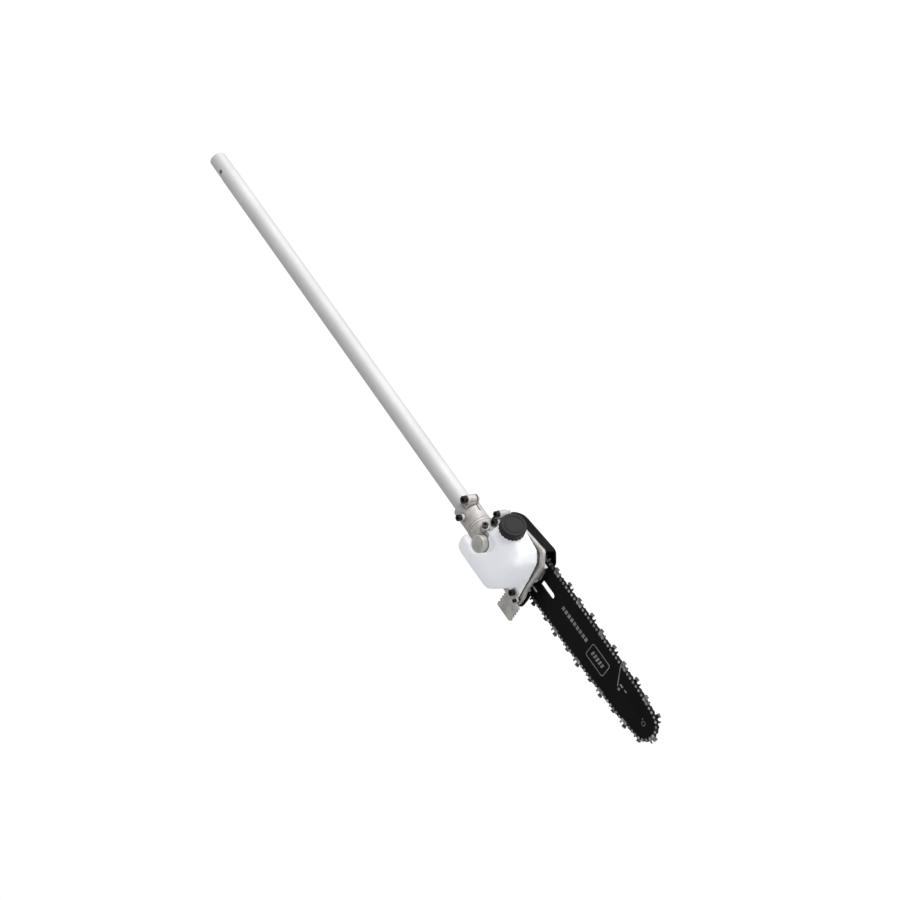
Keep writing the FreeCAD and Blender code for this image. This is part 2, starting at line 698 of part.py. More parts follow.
def make_drive_sprocket():
    """Spur sprocket; the chain's tangs stand just outside its teeth."""
    teeth = int(dim.sprocket_teeth.value)
    tip_r = sprocket_path_r - TANG_DEEP - 0.35
    root_r = tip_r - 2.8
    blank = Part.makeCylinder(root_r, 8.0, Vector(0, 0, -4.0))
    ribs = []
    for i in range(teeth):
        corners = [Vector(root_r - 1.0, -2.0, -4), Vector(tip_r - 0.5, -1.3, -4), Vector(tip_r, -0.7, -4),
                   Vector(tip_r, 0.7, -4), Vector(tip_r - 0.5, 1.3, -4), Vector(root_r - 1.0, 2.0, -4)]
        rib = Part.Face(Part.makePolygon(corners + corners[:1])).extrude(Vector(0, 0, 8.0))
        rib.rotate(Vector(0, 0, 0), Vector(0, 0, 1), TURN * i / teeth)
        ribs.append(rib)
    solid = blank.multiFuse(ribs).cut(Part.makeCylinder(4.0, 30, Vector(0, 0, -15))).removeSplitter()
    obj = shaped("drive_sprocket", solid)
    obj.Placement = Placement(Vector(dim.out_x.value, dim.bar_y.value, 0), TURN_TO["y"])
    return piece("drive_sprocket", obj)


def make_sprocket_retainers():
    piece("sprocket_washer", ring("sprocket_washer", 8.0, 4.0, 1.8, (dim.out_x, 41.6, 0), "y"))
    clip = ring("clip_ring", 6.4, 3.45, 0.8, (dim.out_x, 43.55, 0), "y")
    mouth = block("clip_mouth", (dim.out_x, 43.0, -2.6), (dim.out_x + 8.0, 45.0, 2.6))
    piece("sprocket_clip", cut("sprocket_clip", clip, [mouth]))


# ---------------------------------------------------------------------------
# Chain path: a belt round circles, from the sprocket along the bar and back
# ---------------------------------------------------------------------------
LOOP_LINKS = int(dim.drive_links.value)
RIVETS = 2 * LOOP_LINKS
GAP = dim.rivet_gap.value
sprocket_path_r = GAP / 2 / math.sin(math.pi / (2 * dim.sprocket_teeth.value))
nose_path_r = GAP / 2 / math.sin(math.pi / (2 * dim.nose_teeth.value))
FIRST_CUTTER_X = 826.4


def side_circles(nose_x):
    """Circles under the upper run, from the heel of the bar to its nose: (x, z, r)."""
    return [
        (807.0, 27.2 - 70.0, 70.0),
        (892.0, 27.6 - 900.0, 900.0),
        (nose_x - 44.5, 24.8 - 150.0, 150.0),
        (nose_x, 0.0, nose_path_r),
    ]


def mirrored(circles):
    return [(x, -z, r) for x, z, r in reversed(circles)]


def belt(circles):
    """Arcs and lines of a belt that runs clockwise round circles.

    Each entry is (kind, start, end, centre, radius, length, start angle).
    """
    count = len(circles)
    normals = []
    for i in range(count):
        xa, za, ra = circles[i]
        xb, zb, rb = circles[(i + 1) % count]
        run = math.hypot(xb - xa, zb - za)
        ux, uz = (xb - xa) / run, (zb - za) / run
        lean = (ra - rb) / run
        rise = math.sqrt(max(0.0, 1 - lean * lean))
        normals.append((ux * lean - uz * rise, uz * lean + ux * rise))
    pieces = []
    for i in range(count):
        x, z, r = circles[i]
        arrive = normals[i - 1]
        leave = normals[i]
        start = math.atan2(arrive[1], arrive[0])
        sweep = (start - math.atan2(leave[1], leave[0])) % math.tau
        pieces.append(("arc", (x, z), r, start, sweep, r * sweep))
        xb, zb, rb = circles[(i + 1) % count]
        a = (x + r * leave[0], z + r * leave[1])
        b = (xb + rb * leave[0], zb + rb * leave[1])
        pieces.append(("line", a, b, 0.0, 0.0, math.hypot(b[0] - a[0], b[1] - a[1])))
    return pieces


def belt_point(pieces, s):
    """Point at distance s along a belt."""
    total = sum(p[5] for p in pieces)
    s = s % total
    for kind, first, second, start, sweep, length in pieces:
        if s > length:
            s -= length
            continue
        if kind == "arc":
            angle = start - s / second
            return first[0] + second * math.cos(angle), first[1] + second * math.sin(angle)
        t = s / length if length else 0.0
        return first[0] + (second[0] - first[0]) * t, first[1] + (second[1] - first[1]) * t
    return belt_point(pieces, 0.0)


def belt_wire(pieces, y):
    """Closed wire of a belt in the plane of constant y."""
    edges = []
    for kind, first, second, start, sweep, length in pieces:
        if length < 1e-6:
            continue
        if kind == "arc":
            points = []
            for part in (0.0, 0.5, 1.0):
                angle = start - sweep * part
                points.append(Vector(first[0] + second * math.cos(angle), y,
                                     first[1] + second * math.sin(angle)))
            edges.append(Part.Arc(*points).toShape())
        else:
            edges.append(Part.LineSegment(Vector(first[0], y, first[1]),
                                          Vector(second[0], y, second[1])).toShape())
    return Part.Wire(edges)


def chain_belt(nose_x):
    sprocket = (dim.out_x.value, 0.0, sprocket_path_r)
    upper = side_circles(nose_x)
    return belt([sprocket] + upper + mirrored(upper[:-1]))


def step_rivets(pieces):
    """Distances of the rivets along the belt, each one gap from the last."""
    total = sum(p[5] for p in pieces)
    s = 0.0
    while not (belt_point(pieces, s)[0] >= FIRST_CUTTER_X and belt_point(pieces, s)[1] > 20.0):
        s += 0.05
    stations = [s]
    for _ in range(RIVETS):
        here = belt_point(pieces, stations[-1])
        guess = stations[-1] + GAP
        for _ in range(6):
            there = belt_point(pieces, guess)
            guess += GAP - math.hypot(there[0] - here[0], there[1] - here[1])
        stations.append(guess)
    return stations, stations[-1] - stations[0] - total


def fitted_nose():
    """Bar length at which the chain loop closes exactly."""
    low, high = dim.out_x.value + 290.0, dim.out_x.value + 330.0
    for _ in range(40):
        middle = (low + high) / 2
        if step_rivets(chain_belt(middle))[1] > 0:
            low = middle
        else:
            high = middle
    return (low + high) / 2


nose_x = fitted_nose()
chain_path = chain_belt(nose_x)
rivet_stations = step_rivets(chain_path)[0][:-1]
rivet_points = [belt_point(chain_path, s) for s in rivet_stations]


def link_frame(i):
    """Placement at rivet i: local X to the next rivet, local Y outwards, local Z to -Y."""
    xa, za = rivet_points[i % RIVETS]
    xb, zb = rivet_points[(i + 1) % RIVETS]
    along = Vector(xb - xa, 0, zb - za).normalize()
    outward = Vector(-along.z, 0, along.x)
    return Placement(Vector(xa, dim.bar_y.value, za),
                     Rotation(along, outward, Vector(0, -1, 0), "XYZ"))


LOBE_R = 2.5
DRIVE_THICK = 1.2
STRAP_THICK = 1.0
STRAP_SIDE = DRIVE_THICK / 2 + 0.04
TANG_DEEP = 6.6
TOP_V = 6.5
GAUGE_V = 6.0


def extruded(corners, low, high):
    """A flat profile in the local XY plane, thick from low to high along local Z."""
    wire = Part.makePolygon([Vector(u, v, low) for u, v in corners + corners[:1]])
    return Part.Face(wire).extrude(Vector(0, 0, high - low))


def lobes(radius, low, high):
    """Two rivet eyes and the bar between them."""
    thick = high - low
    solid = Part.makeCylinder(radius, thick, Vector(0, 0, low))
    solid = solid.fuse(Part.makeCylinder(radius, thick, Vector(GAP, 0, low)))
    waist = radius * 0.78
    return solid.fuse(extruded([(0, -waist), (GAP, -waist), (GAP, waist), (0, waist)], low, high))


def rivet_holes(solid):
    for u in (0.0, GAP):
        solid = solid.cut(Part.makeCylinder(1.3, 12, Vector(u, 0, -6)))
    return solid


def drive_link():
    """Centre link with the tang that runs in the bar groove."""
    half = DRIVE_THICK / 2
    tang = extruded([(0.4, -1.5), (1.0, -TANG_DEEP + 1.6), (1.9, -TANG_DEEP), (3.4, -TANG_DEEP),
                     (5.6, -TANG_DEEP + 2.4), (GAP - 0.4, -1.5)], -half, half)
    return rivet_holes(lobes(LOBE_R, -half, half).fuse(tang)).removeSplitter()


def tie_strap(side):
    """Outer link; side is +1 for local +Z."""
    low, high = sorted((side * STRAP_SIDE, side * (STRAP_SIDE + STRAP_THICK)))
    return rivet_holes(lobes(LOBE_R, low, high)).removeSplitter()


def cutter(side):
    """Outer link with a cutting tooth over its rear eye and a depth gauge at its front."""
    low, high = sorted((side * STRAP_SIDE, side * (STRAP_SIDE + STRAP_THICK)))
    base = lobes(LOBE_R, low, high)
    heel = extruded([(-2.2, 0.2), (2.2, 0.2), (3.0, 3.2), (2.6, TOP_V), (-2.9, TOP_V - 0.5),
                     (-2.6, 2.6)], low, high)
    gauge = extruded([(4.6, 0.4), (8.6, 0.2), (8.9, 3.8), (8.2, GAUGE_V), (7.0, GAUGE_V - 0.4),
                      (6.2, 3.0)], low, high)
    in_edge, out_edge = sorted((side * -0.5, side * 3.1))
    top = extruded([(-2.9, TOP_V - 0.5), (2.6, TOP_V), (2.6, TOP_V - 0.9), (-2.6, TOP_V - 1.4)],
                   in_edge, out_edge)
    skirt_low, skirt_high = sorted((side * (STRAP_SIDE + STRAP_THICK - 0.2), side * 3.1))
    skirt = extruded([(-2.75, TOP_V - 1.0), (2.6, TOP_V - 0.5), (2.7, TOP_V - 2.0), (-2.5, TOP_V - 2.4)],
                     skirt_low, skirt_high)
    return rivet_holes(base.multiFuse([heel, gauge, top, skirt])).removeSplitter()


def rivet():
    """Rivet with a flattened head on each side."""
    reach = STRAP_SIDE + STRAP_THICK
    solid = Part.makeCylinder(1.3, 2 * reach + 0.8, Vector(0, 0, -reach - 0.4))
    for low in (-reach - 0.4, reach + 0.02):
        solid = solid.fuse(Part.makeCylinder(1.75, 0.38, Vector(0, 0, low)))
    return solid.removeSplitter()


def at_frame(solid, frame):
    moved = solid.copy()
    moved.Placement = frame
    return moved


def make_chain():
    """Every link of the loop, as separate solids."""
    centre = drive_link()
    straps = {side: tie_strap(side) for side in (1, -1)}
    cutters = {side: cutter(side) for side in (1, -1)}
    pin = rivet()
    drives = []
    ties = []
    teeth = {1: [], -1: []}
    rivets = [at_frame(pin, link_frame(i)) for i in range(RIVETS)]
    for k in range(LOOP_LINKS):
        outer_frame = link_frame(2 * k)
        drives.append(at_frame(centre, link_frame(2 * k + 1)))
        if k % 2 == 0:
            side = 1 if (k // 2) % 2 == 0 else -1
            teeth[side].append(at_frame(cutters[side], outer_frame))
            ties.append(at_frame(straps[-side], outer_frame))
        else:
            ties.extend(at_frame(straps[side], outer_frame) for side in (1, -1))
    for label, solids in (("chain_drive_links", drives), ("chain_tie_straps", ties),
                          ("chain_cutters_tank_side", teeth[1]),
                          ("chain_cutters_cover_side", teeth[-1]), ("chain_rivets", rivets)):
        piece(label, shaped(label, Part.makeCompound(solids)))


# ---------------------------------------------------------------------------
# Guide bar: two plates on a core, with a sprocket in the nose
# ---------------------------------------------------------------------------
HEEL_X = 777.0
HEEL_Z = 13.6
HEEL_R = 6.6
SLOT_FROM = 764.0 + 5.0
SLOT_TO = 846.5
TENSION_HOLE = (787.0, -10.0)


def bar_circles(inset):
    """Circles of the bar's outline, drawn in by inset from its rails."""
    upper = [(HEEL_X, HEEL_Z, HEEL_R - inset)]
    for x, z, r in side_circles(nose_x):
        upper.append((x, z, r - dim.rail_drop.value - inset))
    return upper + mirrored(upper[:-1])


def bar_layer(inset, low, high):
    """One layer of the bar between two y values."""
    face = Part.Face(belt_wire(belt(bar_circles(inset)), low))
    solid = face.extrude(Vector(0, high - low, 0))
    slot_half = dim.slot_w.value / 2
    z = dim.slot_z.value
    slot = Part.makeBox(SLOT_TO - SLOT_FROM - 2 * slot_half, 20, 2 * slot_half,
                        Vector(SLOT_FROM + slot_half, low - 5, z - slot_half))
    for x in (SLOT_FROM + slot_half, SLOT_TO - slot_half):
        slot = slot.fuse(Part.makeCylinder(slot_half, 20, Vector(x, low - 5, z), Vector(0, 1, 0)))
    tension = Part.makeCylinder(2.6, 20, Vector(TENSION_HOLE[0], low - 5, TENSION_HOLE[1]), Vector(0, 1, 0))
    return solid.cut(slot.fuse(tension))


def make_guide_bar():
    middle = dim.bar_y.value
    half = dim.bar_thick.value / 2
    groove = dim.groove_w.value / 2
    rivets = [(nose_x, 0.0, 2.4)]
    for angle in (100.0, 140.0, 220.0, 260.0):
        rivets.append((nose_x - 22.0 + 9.0 * math.cos(math.radians(angle)),
                       9.0 * math.sin(math.radians(angle)), 1.6))
    drill = Part.makeCompound([
        Part.makeCylinder(r, 20, Vector(x, middle - 10, z), Vector(0, 1, 0)) for x, z, r in rivets])
    grease = Part.makeCylinder(0.9, 20, Vector(nose_x - 6.1, middle - 10, 3.9), Vector(0, 1, 0))
    outer = bar_layer(0.0, middle + groove, middle + half).cut(drill)
    inner = bar_layer(0.0, middle - half, middle - groove).cut(drill).cut(grease)
    core = bar_layer(dim.groove_deep.value, middle - groove, middle + groove)
    core = core.cut(Part.makeCylinder(nose_path_r, 20, Vector(nose_x, middle - 10, 0), Vector(0, 1, 0)))
    core = core.cut(drill)
    piece("guide_bar_cover_side_plate", shaped("guide_bar_cover_side_plate", outer))
    piece("guide_bar_tank_side_plate", shaped("guide_bar_tank_side_plate", inner))
    piece("guide_bar_core", shaped("guide_bar_core", core))
    pins = [Part.makeCylinder(r, 2 * half + 0.1, Vector(x, middle - half - 0.05, z), Vector(0, 1, 0))
            for x, z, r in rivets]
    piece("nose_rivets", shaped("nose_rivets", Part.makeCompound(pins)))
    make_nose_sprocket(middle)


def make_nose_sprocket(middle):
    """Star wheel between the plates; the tangs stand just outside its points."""
    teeth = int(dim.nose_teeth.value)
    thick = 1.1
    tip_r = nose_path_r - TANG_DEEP - 0.35
    root_r = tip_r - 3.0
    star = Part.makeCylinder(root_r, thick)
    points = []
    for i in range(teeth):
        corners = [Vector(root_r - 1.0, -2.6, 0), Vector(tip_r, -0.7, 0), Vector(tip_r, 0.7, 0),
                   Vector(root_r - 1.0, 2.6, 0)]
        point = Part.Face(Part.makePolygon(corners + corners[:1])).extrude(Vector(0, 0, thick))
        point.rotate(Vector(0, 0, 0), Vector(0, 0, 1), TURN * i / teeth)
        points.append(point)
    star = star.multiFuse(points).cut(Part.makeCylinder(2.4 + RUNNING, 10, Vector(0, 0, -4)))
    star = star.removeSplitter()
    obj = shaped("nose_sprocket", star)
    obj.Placement = Placement(Vector(nose_x, middle - thick / 2, 0), TURN_TO["y"])
    piece("nose_sprocket", obj)


# ---------------------------------------------------------------------------
# Drive housing: the casting that carries the bar, with studs, plate and tensioner
# ---------------------------------------------------------------------------
HOUSING_OUTLINE = (
    (717.0, -20.0), (717.0, 20.0), (732.0, 36.0), (763.5, 40.2), (804.0, 45.0),
    (dim.front_x, 28.0), (dim.front_x, -13.0), (dim.foot_x, -26.0), (dim.foot_x, -42.5), (797.0, -46.0),
    (764.0, -43.0), (733.0, -33.0),
)
HOUSING_ROUNDS = ((0, 10.0), (1, 12.0), (2, 14.0), (4, 6.0), (5, 7.0),
                  (6, 12.0), (7, 8.0), (8, 6.0), (9, 10.0))
CORE_OUTLINE = (
    (721.5, -14.0), (721.5, 14.0), (733.0, 24.0), (803.0, 26.0), (803.0, -27.0), (733.0, -25.0),
)
CORE_ROUNDS = ((0, 8.0), (1, 8.0), (3, 3.0), (4, 6.0))
PAD_OUTLINE = ((766.0, -19.0), (766.0, 17.0), (812.0, 17.0), (812.0, -19.0))
PAD_ROUNDS = ((0, 4.0), (1, 4.0))
BLOCK_TOP = 26.0         # ribbed block in front, with a shelf at its top, middle and foot
BLOCK_FOOT = -21.0
BLOCK_Y = 31.8
BLOCK_RECESSES = ((1.4, 22.8), (-17.6, -3.0))
TENSION_Y = 29.0


def make_drive_housing():
    back = dim.house_back
    flange = plate("housing_flange", HOUSING_OUTLINE, back, dim.flange_y, HOUSING_ROUNDS)
    core = plate("housing_core", CORE_OUTLINE, dim.flange_y - 1.0, dim.rim_y, CORE_ROUNDS)
    pad = plate("housing_pad", PAD_OUTLINE, BLOCK_Y - 1.0, dim.pad_y, PAD_ROUNDS)
    front = block("housing_front_block", (798.0, dim.flange_y - 1.0, BLOCK_FOOT),
                  (dim.block_x, BLOCK_Y, BLOCK_TOP))
    solids = [flange, core, pad, front]
    for i, (x, z, r) in enumerate(CASE_LUGS):
        solids.append(rod("housing_lug_%d" % i, r - LUG_STEP, dim.flange_y - dim.case_front,
                          (x, dim.case_front, z), "y"))
    solid = fuse("housing_solid", solids)
    pocket_back = plate("housing_back_pocket", (
        (772.0, -30.0), (772.0, 34.0), (801.0, 38.5), (812.0, 24.0), (813.0, -18.0), (797.0, -20.0),
        (797.0, -30.0)), back - 1.0, back + 2.4, ((2, 5.0), (3, 7.0)))
    worm_room = rod("housing_worm_room", 7.6, 30.0, (dim.out_x, back, 0), "y")
    case_seat = rod("housing_case_seat", dim.chamber_od / 2 + PRESS_GAP, dim.case_front - back,
                    (dim.out_x, back, 0), "y")
    lug_room = block("housing_lug_room", (700.0, back - 1.0, 6.0), (738.0, dim.case_front, 45.0))
    sleeve_room = block("housing_sleeve_room", (700.0, back - 1.0, -19.0), (744.0, dim.case_front, 19.0))
    wheel_room = rod("housing_wheel_room", 5.0, 12.0, (dim.out_x - 6.0, plunger_y, plunger_z))
    pump_room = rod("housing_pump_room", BARREL_R + PRESS_GAP, 25.2,
                    (dim.out_x + 5.0, plunger_y, plunger_z))
    oil_inlet = rod("housing_oil_inlet", 1.5, 10.0, (HOSE_X, back - 1.0, HOSE_Z), "y")
    oil_rise = rod("housing_oil_rise", 1.2, plunger_z - HOSE_Z, (HOSE_X, plunger_y, HOSE_Z), "z")
    oil_outlet = rod("housing_oil_outlet", 1.2, 20.0, (781.0, 20.0, 14.0), "y")
    tension_groove = block("housing_tension_groove", (777.0, TENSION_Y - 3.6, TENSION_HOLE[1] - 4.2),
                           (796.0, 36.0, TENSION_HOLE[1] + 4.2))
    tension_bore = rod("housing_tension_bore", 2.5 + RUNNING, 60.0, (774.5, TENSION_Y, TENSION_HOLE[1]))
    sprocket_room = rod("housing_sprocket_room", 16.0, 6.0, (dim.out_x, 33.0, 0), "y")
    tools = [pocket_back, worm_room, case_seat, lug_room, sleeve_room, wheel_room, pump_room, oil_inlet,
             oil_rise, oil_outlet, tension_groove, tension_bore, sprocket_room]
    for i, (low, high) in enumerate(BLOCK_RECESSES):
        tools.append(block("housing_front_recess_%d" % i, (dim.block_x - 3.0, dim.flange_y + 1.2, low),
                           (dim.block_x + 5.0, BLOCK_Y + 1.0, high)))
    for i, x in enumerate(stud_x):
        tools.append(rod("housing_stud_hole_%d" % i, stud_r, 12.0, (x, 26.5, dim.slot_z), "y"))
    for i, (x, z, r) in enumerate(CASE_LUGS):
        tools.append(rod("housing_lug_hole_%d" % i, 2.5, 10.0, (x, 20.0, z), "y"))
    for i, (x, z, r) in enumerate(BUMPER_SCREWS):
        tools.append(rod("housing_bumper_hole_%d" % i, r, 12.0, (x, 18.0, z), "y"))
    return piece("drive_housing", cut("drive_housing", solid, tools))


def make_bar_hardware():
    studs = []
    nuts = []
    for i, x in enumerate(stud_x):
        studs.append(rod("bar_stud_%d" % (i + 1), stud_r - PRESS_GAP, 31.0, (x, 27.0, dim.slot_z), "y"))
        hexagon = doc.addObject("Part::Prism", "bar_nut_hex_%d" % (i + 1))
        hexagon.Polygon = 6
        hexagon.Circumradius = 7.5
        hexagon.Height = 6.0
        place(hexagon, (x, 48.2, dim.slot_z), TURN_TO["y"])
        flange = rod("bar_nut_flange_%d" % (i + 1), 8.6, 1.6, (x, 46.6, dim.slot_z), "y")
        hole = rod("bar_nut_bore_%d" % (i + 1), stud_r, 12.0, (x, 44.0, dim.slot_z), "y")
        blank = fuse("bar_nut_blank_%d" % (i + 1), [hexagon, flange])
        nuts.append(cut("bar_nut_%d" % (i + 1), blank, [hole]))
    piece("bar_studs", group("bar_studs", studs))
    piece("bar_nuts", group("bar_nuts", nuts))


def make_guide_plate():
    """Thin steel plate between the casting and the bar."""
    bar_face = dim.bar_y - dim.bar_thick / 2
    corners = ((766.5, -18.5), (766.5, 16.5), (815.6, 16.5), (815.6, 0.0), (803.0, -18.5))
    body = plate("guide_plate_blank", corners,
                 dim.pad_y, bar_face - 0.02, ((0, 4.0), (1, 4.0), (2, 4.0), (3, 4.0), (4, 4.0)))
    tools = [block("guide_plate_slot", (779.0, 30.0, -13.5), (794.0, 40.0, -6.0))]
    tools.append(rod("guide_plate_oil_hole", 1.2, 10.0, (781.0, 30.0, 14.0), "y"))
    for i, x in enumerate(stud_x):
        tools.append(rod("guide_plate_hole_%d" % i, stud_r + 0.1, 10.0, (x, 30.0, dim.slot_z), "y"))
    return piece("guide_plate", cut("guide_plate", body, tools))


def make_tensioner():
    """Screw and travelling pin that set the chain's tension."""
    x, z = TENSION_HOLE
    nut = block("tension_nut", (x - 4.0, TENSION_Y - 3.4, z - 4.0), (x + 4.0, 34.0, z + 4.0))
    stem = rod("tension_stem", 2.55, 6.6, (x, 32.0, z), "y")
    thread = rod("tension_thread", 2.1 + RUNNING, 20.0, (x - 10.0, TENSION_Y, z))
    piece("tension_pin", cut("tension_pin", fuse("tension_pin_blank", [nut, stem]), [thread]))
    collar_x = 797.0
    shoulder_x = dim.block_x - 3.0
    tip_r = 1.1
    slim = rod("tension_screw_thread", 2.1, 22.0, (775.0, TENSION_Y, z))
    shank = rod("tension_screw_shank", 2.5, shoulder_x - collar_x, (collar_x, TENSION_Y, z))
    tip = rod("tension_screw_tip", tip_r, 12.4, (shoulder_x, TENSION_Y, z))
    slot = block("tension_screw_slot", (shoulder_x + 11.0, TENSION_Y - 0.35, z - 3.0),
                 (shoulder_x + 13.0, TENSION_Y + 0.35, z + 3.0))
    piece("tension_screw", cut("tension_screw", fuse("tension_screw_blank", [slim, shank, tip]), [slot]))


# ---------------------------------------------------------------------------
# Oil tank, filler, cap and pickup
# ---------------------------------------------------------------------------
TANK_OUTLINE = (
    (724.0, -dim.tank_low), (790.5, -dim.tank_low), (811.0, -13.5), (812.5, 2.0), (808.0, 27.0),
    (797.0, 39.5), (771.0, dim.tank_high), (747.0, dim.tank_high), (747.0, 10.0), (738.0, -8.5),
    (714.0, -8.5), (714.0, -26.5),
)
OUTLINE_R = 6.0
cap_lean = Vector(0.06, -0.34, 0.94).normalize()
cap_rotation = Rotation(Vector(0, 0, 1), cap_lean)
cap_seat = Vector(763.4, -6.6, 46.4)
cap_base = cap_seat - cap_lean * 2.0
SECTION_R = 10.0
REAR_X = 714.0
FRONT_X = 812.5
REAR_R = 17.0
FRONT_R = 24.0
CHAMBER_GAP = 0.6        # room between the tank and the gear chamber
SCOOP_FLOOR = -16.0      # bottom of the hollow in front of the rear bearing boss


SPOT_GAP = 0.8           # flat around the cap
SLEEVE_GAP = 1.2         # tank clear of the gearcase sleeve
SCOOP_GAP = 0.8          # hollow in the tank wall around the boss
SCOOP_ALONG = Vector(0.45, -0.72, 0.53)


def rounded_face(corners, radius, inset):
    """Convex polygon with round corners, drawn in by inset."""
    core = Part.Face(Part.makePolygon(corners + corners[:1])).makeOffset2D(-radius)
    return core.makeOffset2D(radius - inset)


def tank_profile(inset):
    """Section across the tube: full at the foot, leaning in above, with a round shoulder."""
    face = -dim.tank_face.value
    low = -dim.tank_low.value - 0.5
    high = dim.tank_high.value + 0.5
    section = ((45.0, low), (face + 9.0, low), (face, low + 9.0), (face, -12.0), (-20.0, 24.0),
               (-9.0, high), (45.0, high))
    corners = [Vector(690.0, y, z) for y, z in section]
    return rounded_face(corners, SECTION_R, inset).extrude(Vector(160, 0, 0))


def tank_plan(inset):
    """Plan from above: round corners at the rear and the front of the outer face."""
    face = -dim.tank_face.value
    forms = []
    for radius, rear, front in ((REAR_R, REAR_X, 900.0), (FRONT_R, 600.0, FRONT_X)):
        corners = [Vector(rear, face, -60.0), Vector(front, face, -60.0),
                   Vector(front, 80.0, -60.0), Vector(rear, 80.0, -60.0)]
        forms.append(rounded_face(corners, radius, inset).extrude(Vector(0, 0, 160)))
    return forms[0].common(forms[1])


def tank_bulk(inset, y_back):
    """The tank's outer form, or its inside when drawn in by the wall."""
    front = -dim.tank_face.value - 1.0
    corners = [Vector(as_size(x).value, front, as_size(z).value) for x, z in TANK_OUTLINE]
    side = rounded_face(corners, OUTLINE_R, inset).extrude(Vector(0, y_back - front, 0))
    form = side.common(tank_profile(inset)).common(tank_plan(inset))
    spot_face = Part.makeCylinder(dim.cap_d.value / 2 + SPOT_GAP + inset, 40.0,
                                  cap_base - cap_lean * (0.5 + inset), cap_lean)
    form = form.cut(spot_face)
    x = dim.out_x.value
    scoop_start = Vector(x - 9.0, dim.boss_face.value - 18.0, -11.0)
    boss_room = Part.makeCylinder(dim.boss_od.value / 2 + CHAMBER_GAP + inset, 60, Vector(x, -40, 0),
                                  Vector(0, 1, 0))
    chamber_room = Part.makeCylinder(dim.chamber_od.value / 2 + 1.0 + inset, 60,
                                     Vector(x, -dim.chamber_back.value - CHAMBER_GAP - inset, 0),
                                     Vector(0, 1, 0))
    sleeve_room = Part.makeCylinder(case_r.value + SLEEVE_GAP + inset, x - 700.0, Vector(700.0, 0, 0),
                                    Vector(1, 0, 0))
    scoop = Part.makeCylinder(dim.boss_od.value / 2 + SCOOP_GAP + inset, 90, scoop_start, SCOOP_ALONG)
    scoop = scoop.common(Part.makeBox(200, 60, 200, Vector(650, SCOOP_FLOOR + inset - 60, -100)))
    return form.cut(boss_room.multiFuse([chamber_room, sleeve_room, scoop]))


def make_oil_tank():
    back = dim.tank_back.value
    wall = dim.tank_wall.value
    outer = tank_bulk(0.0, back)
    flange_points = [(758.0, -34.0), (815.5, -34.0), (816.0, -28.0), (812.8, 2.0), (808.5, 27.0),
                     (797.4, 39.4), (771.0, 40.9), (756.0, 39.2)]
    flat = [Vector(x, back - 3.0, z) for x, z in flange_points]
    flange = Part.Face(Part.makePolygon(flat + flat[:1])).extrude(Vector(0, 3.0, 0))
    chamber = Part.makeCylinder(dim.chamber_od.value / 2 + 1.0, 60, Vector(dim.out_x.value, -15, 0),
                                Vector(0, 1, 0))
    outer = outer.fuse(flange.cut(chamber))
    neck_top = cap_base + cap_lean * (dim.cap_tall.value - 3.0)
    neck = Part.makeCylinder(dim.neck_d.value / 2, 22.0, neck_top - cap_lean * 22.0, cap_lean)
    outer = outer.fuse(neck)
    inner = tank_bulk(wall, back - wall)
    mouth = Part.makeCylinder(dim.neck_bore.value / 2, 40.0, neck_top - cap_lean * 20.0, cap_lean)
    solid = outer.cut(inner.fuse(mouth))
    hose_hole = Part.makeCylinder(HOSE_R + 0.05, 12, Vector(HOSE_X, back - 6, HOSE_Z), Vector(0, 1, 0))
    holes = [hose_hole]
    for x, z, r in BUMPER_SCREWS:
        holes.append(Part.makeCylinder(r + 0.3, 12, Vector(x, back - 6, z), Vector(0, 1, 0)))
    solid = solid.cut(Part.makeCompound(holes))
    return piece("oil_tank", shaped("oil_tank", solid.removeSplitter()))


HOSE_X = 765.0
HOSE_Z = -22.0
HOSE_R = 2.6


def make_gasket():
    """Dark sheet gasket between the tank flange and the casting."""
    outline = [(760.0, -33.5), (815.0, -33.5), (815.5, -28.0), (812.3, 2.0), (808.0, 27.0),
               (797.0, 39.0), (771.0, 40.6), (760.0, 39.4)]
    sheet_body = plate("gasket_sheet", outline, dim.tank_back, dim.house_back)
    tools = [
        plate("gasket_window", ((775.0, -14.0), (775.0, 34.0), (798.0, 32.0), (804.0, 4.0), (803.0, -14.0)),
              dim.tank_back - 1.0, dim.house_back + 1.0),
        rod("gasket_case_room", dim.chamber_od / 2 + 1.0, 10.0, (dim.out_x, 14.0, 0), "y"),
        rod("gasket_hose_hole", HOSE_R + 0.05, 6.0, (HOSE_X, 16.0, HOSE_Z), "y"),
    ]
    for i, (x, z, r) in enumerate(BUMPER_SCREWS):
        tools.append(rod("gasket_screw_hole_%d" % i, r + 0.3, 6.0, (x, 16.0, z), "y"))
    return piece("tank_gasket", cut("tank_gasket", sheet_body, tools))


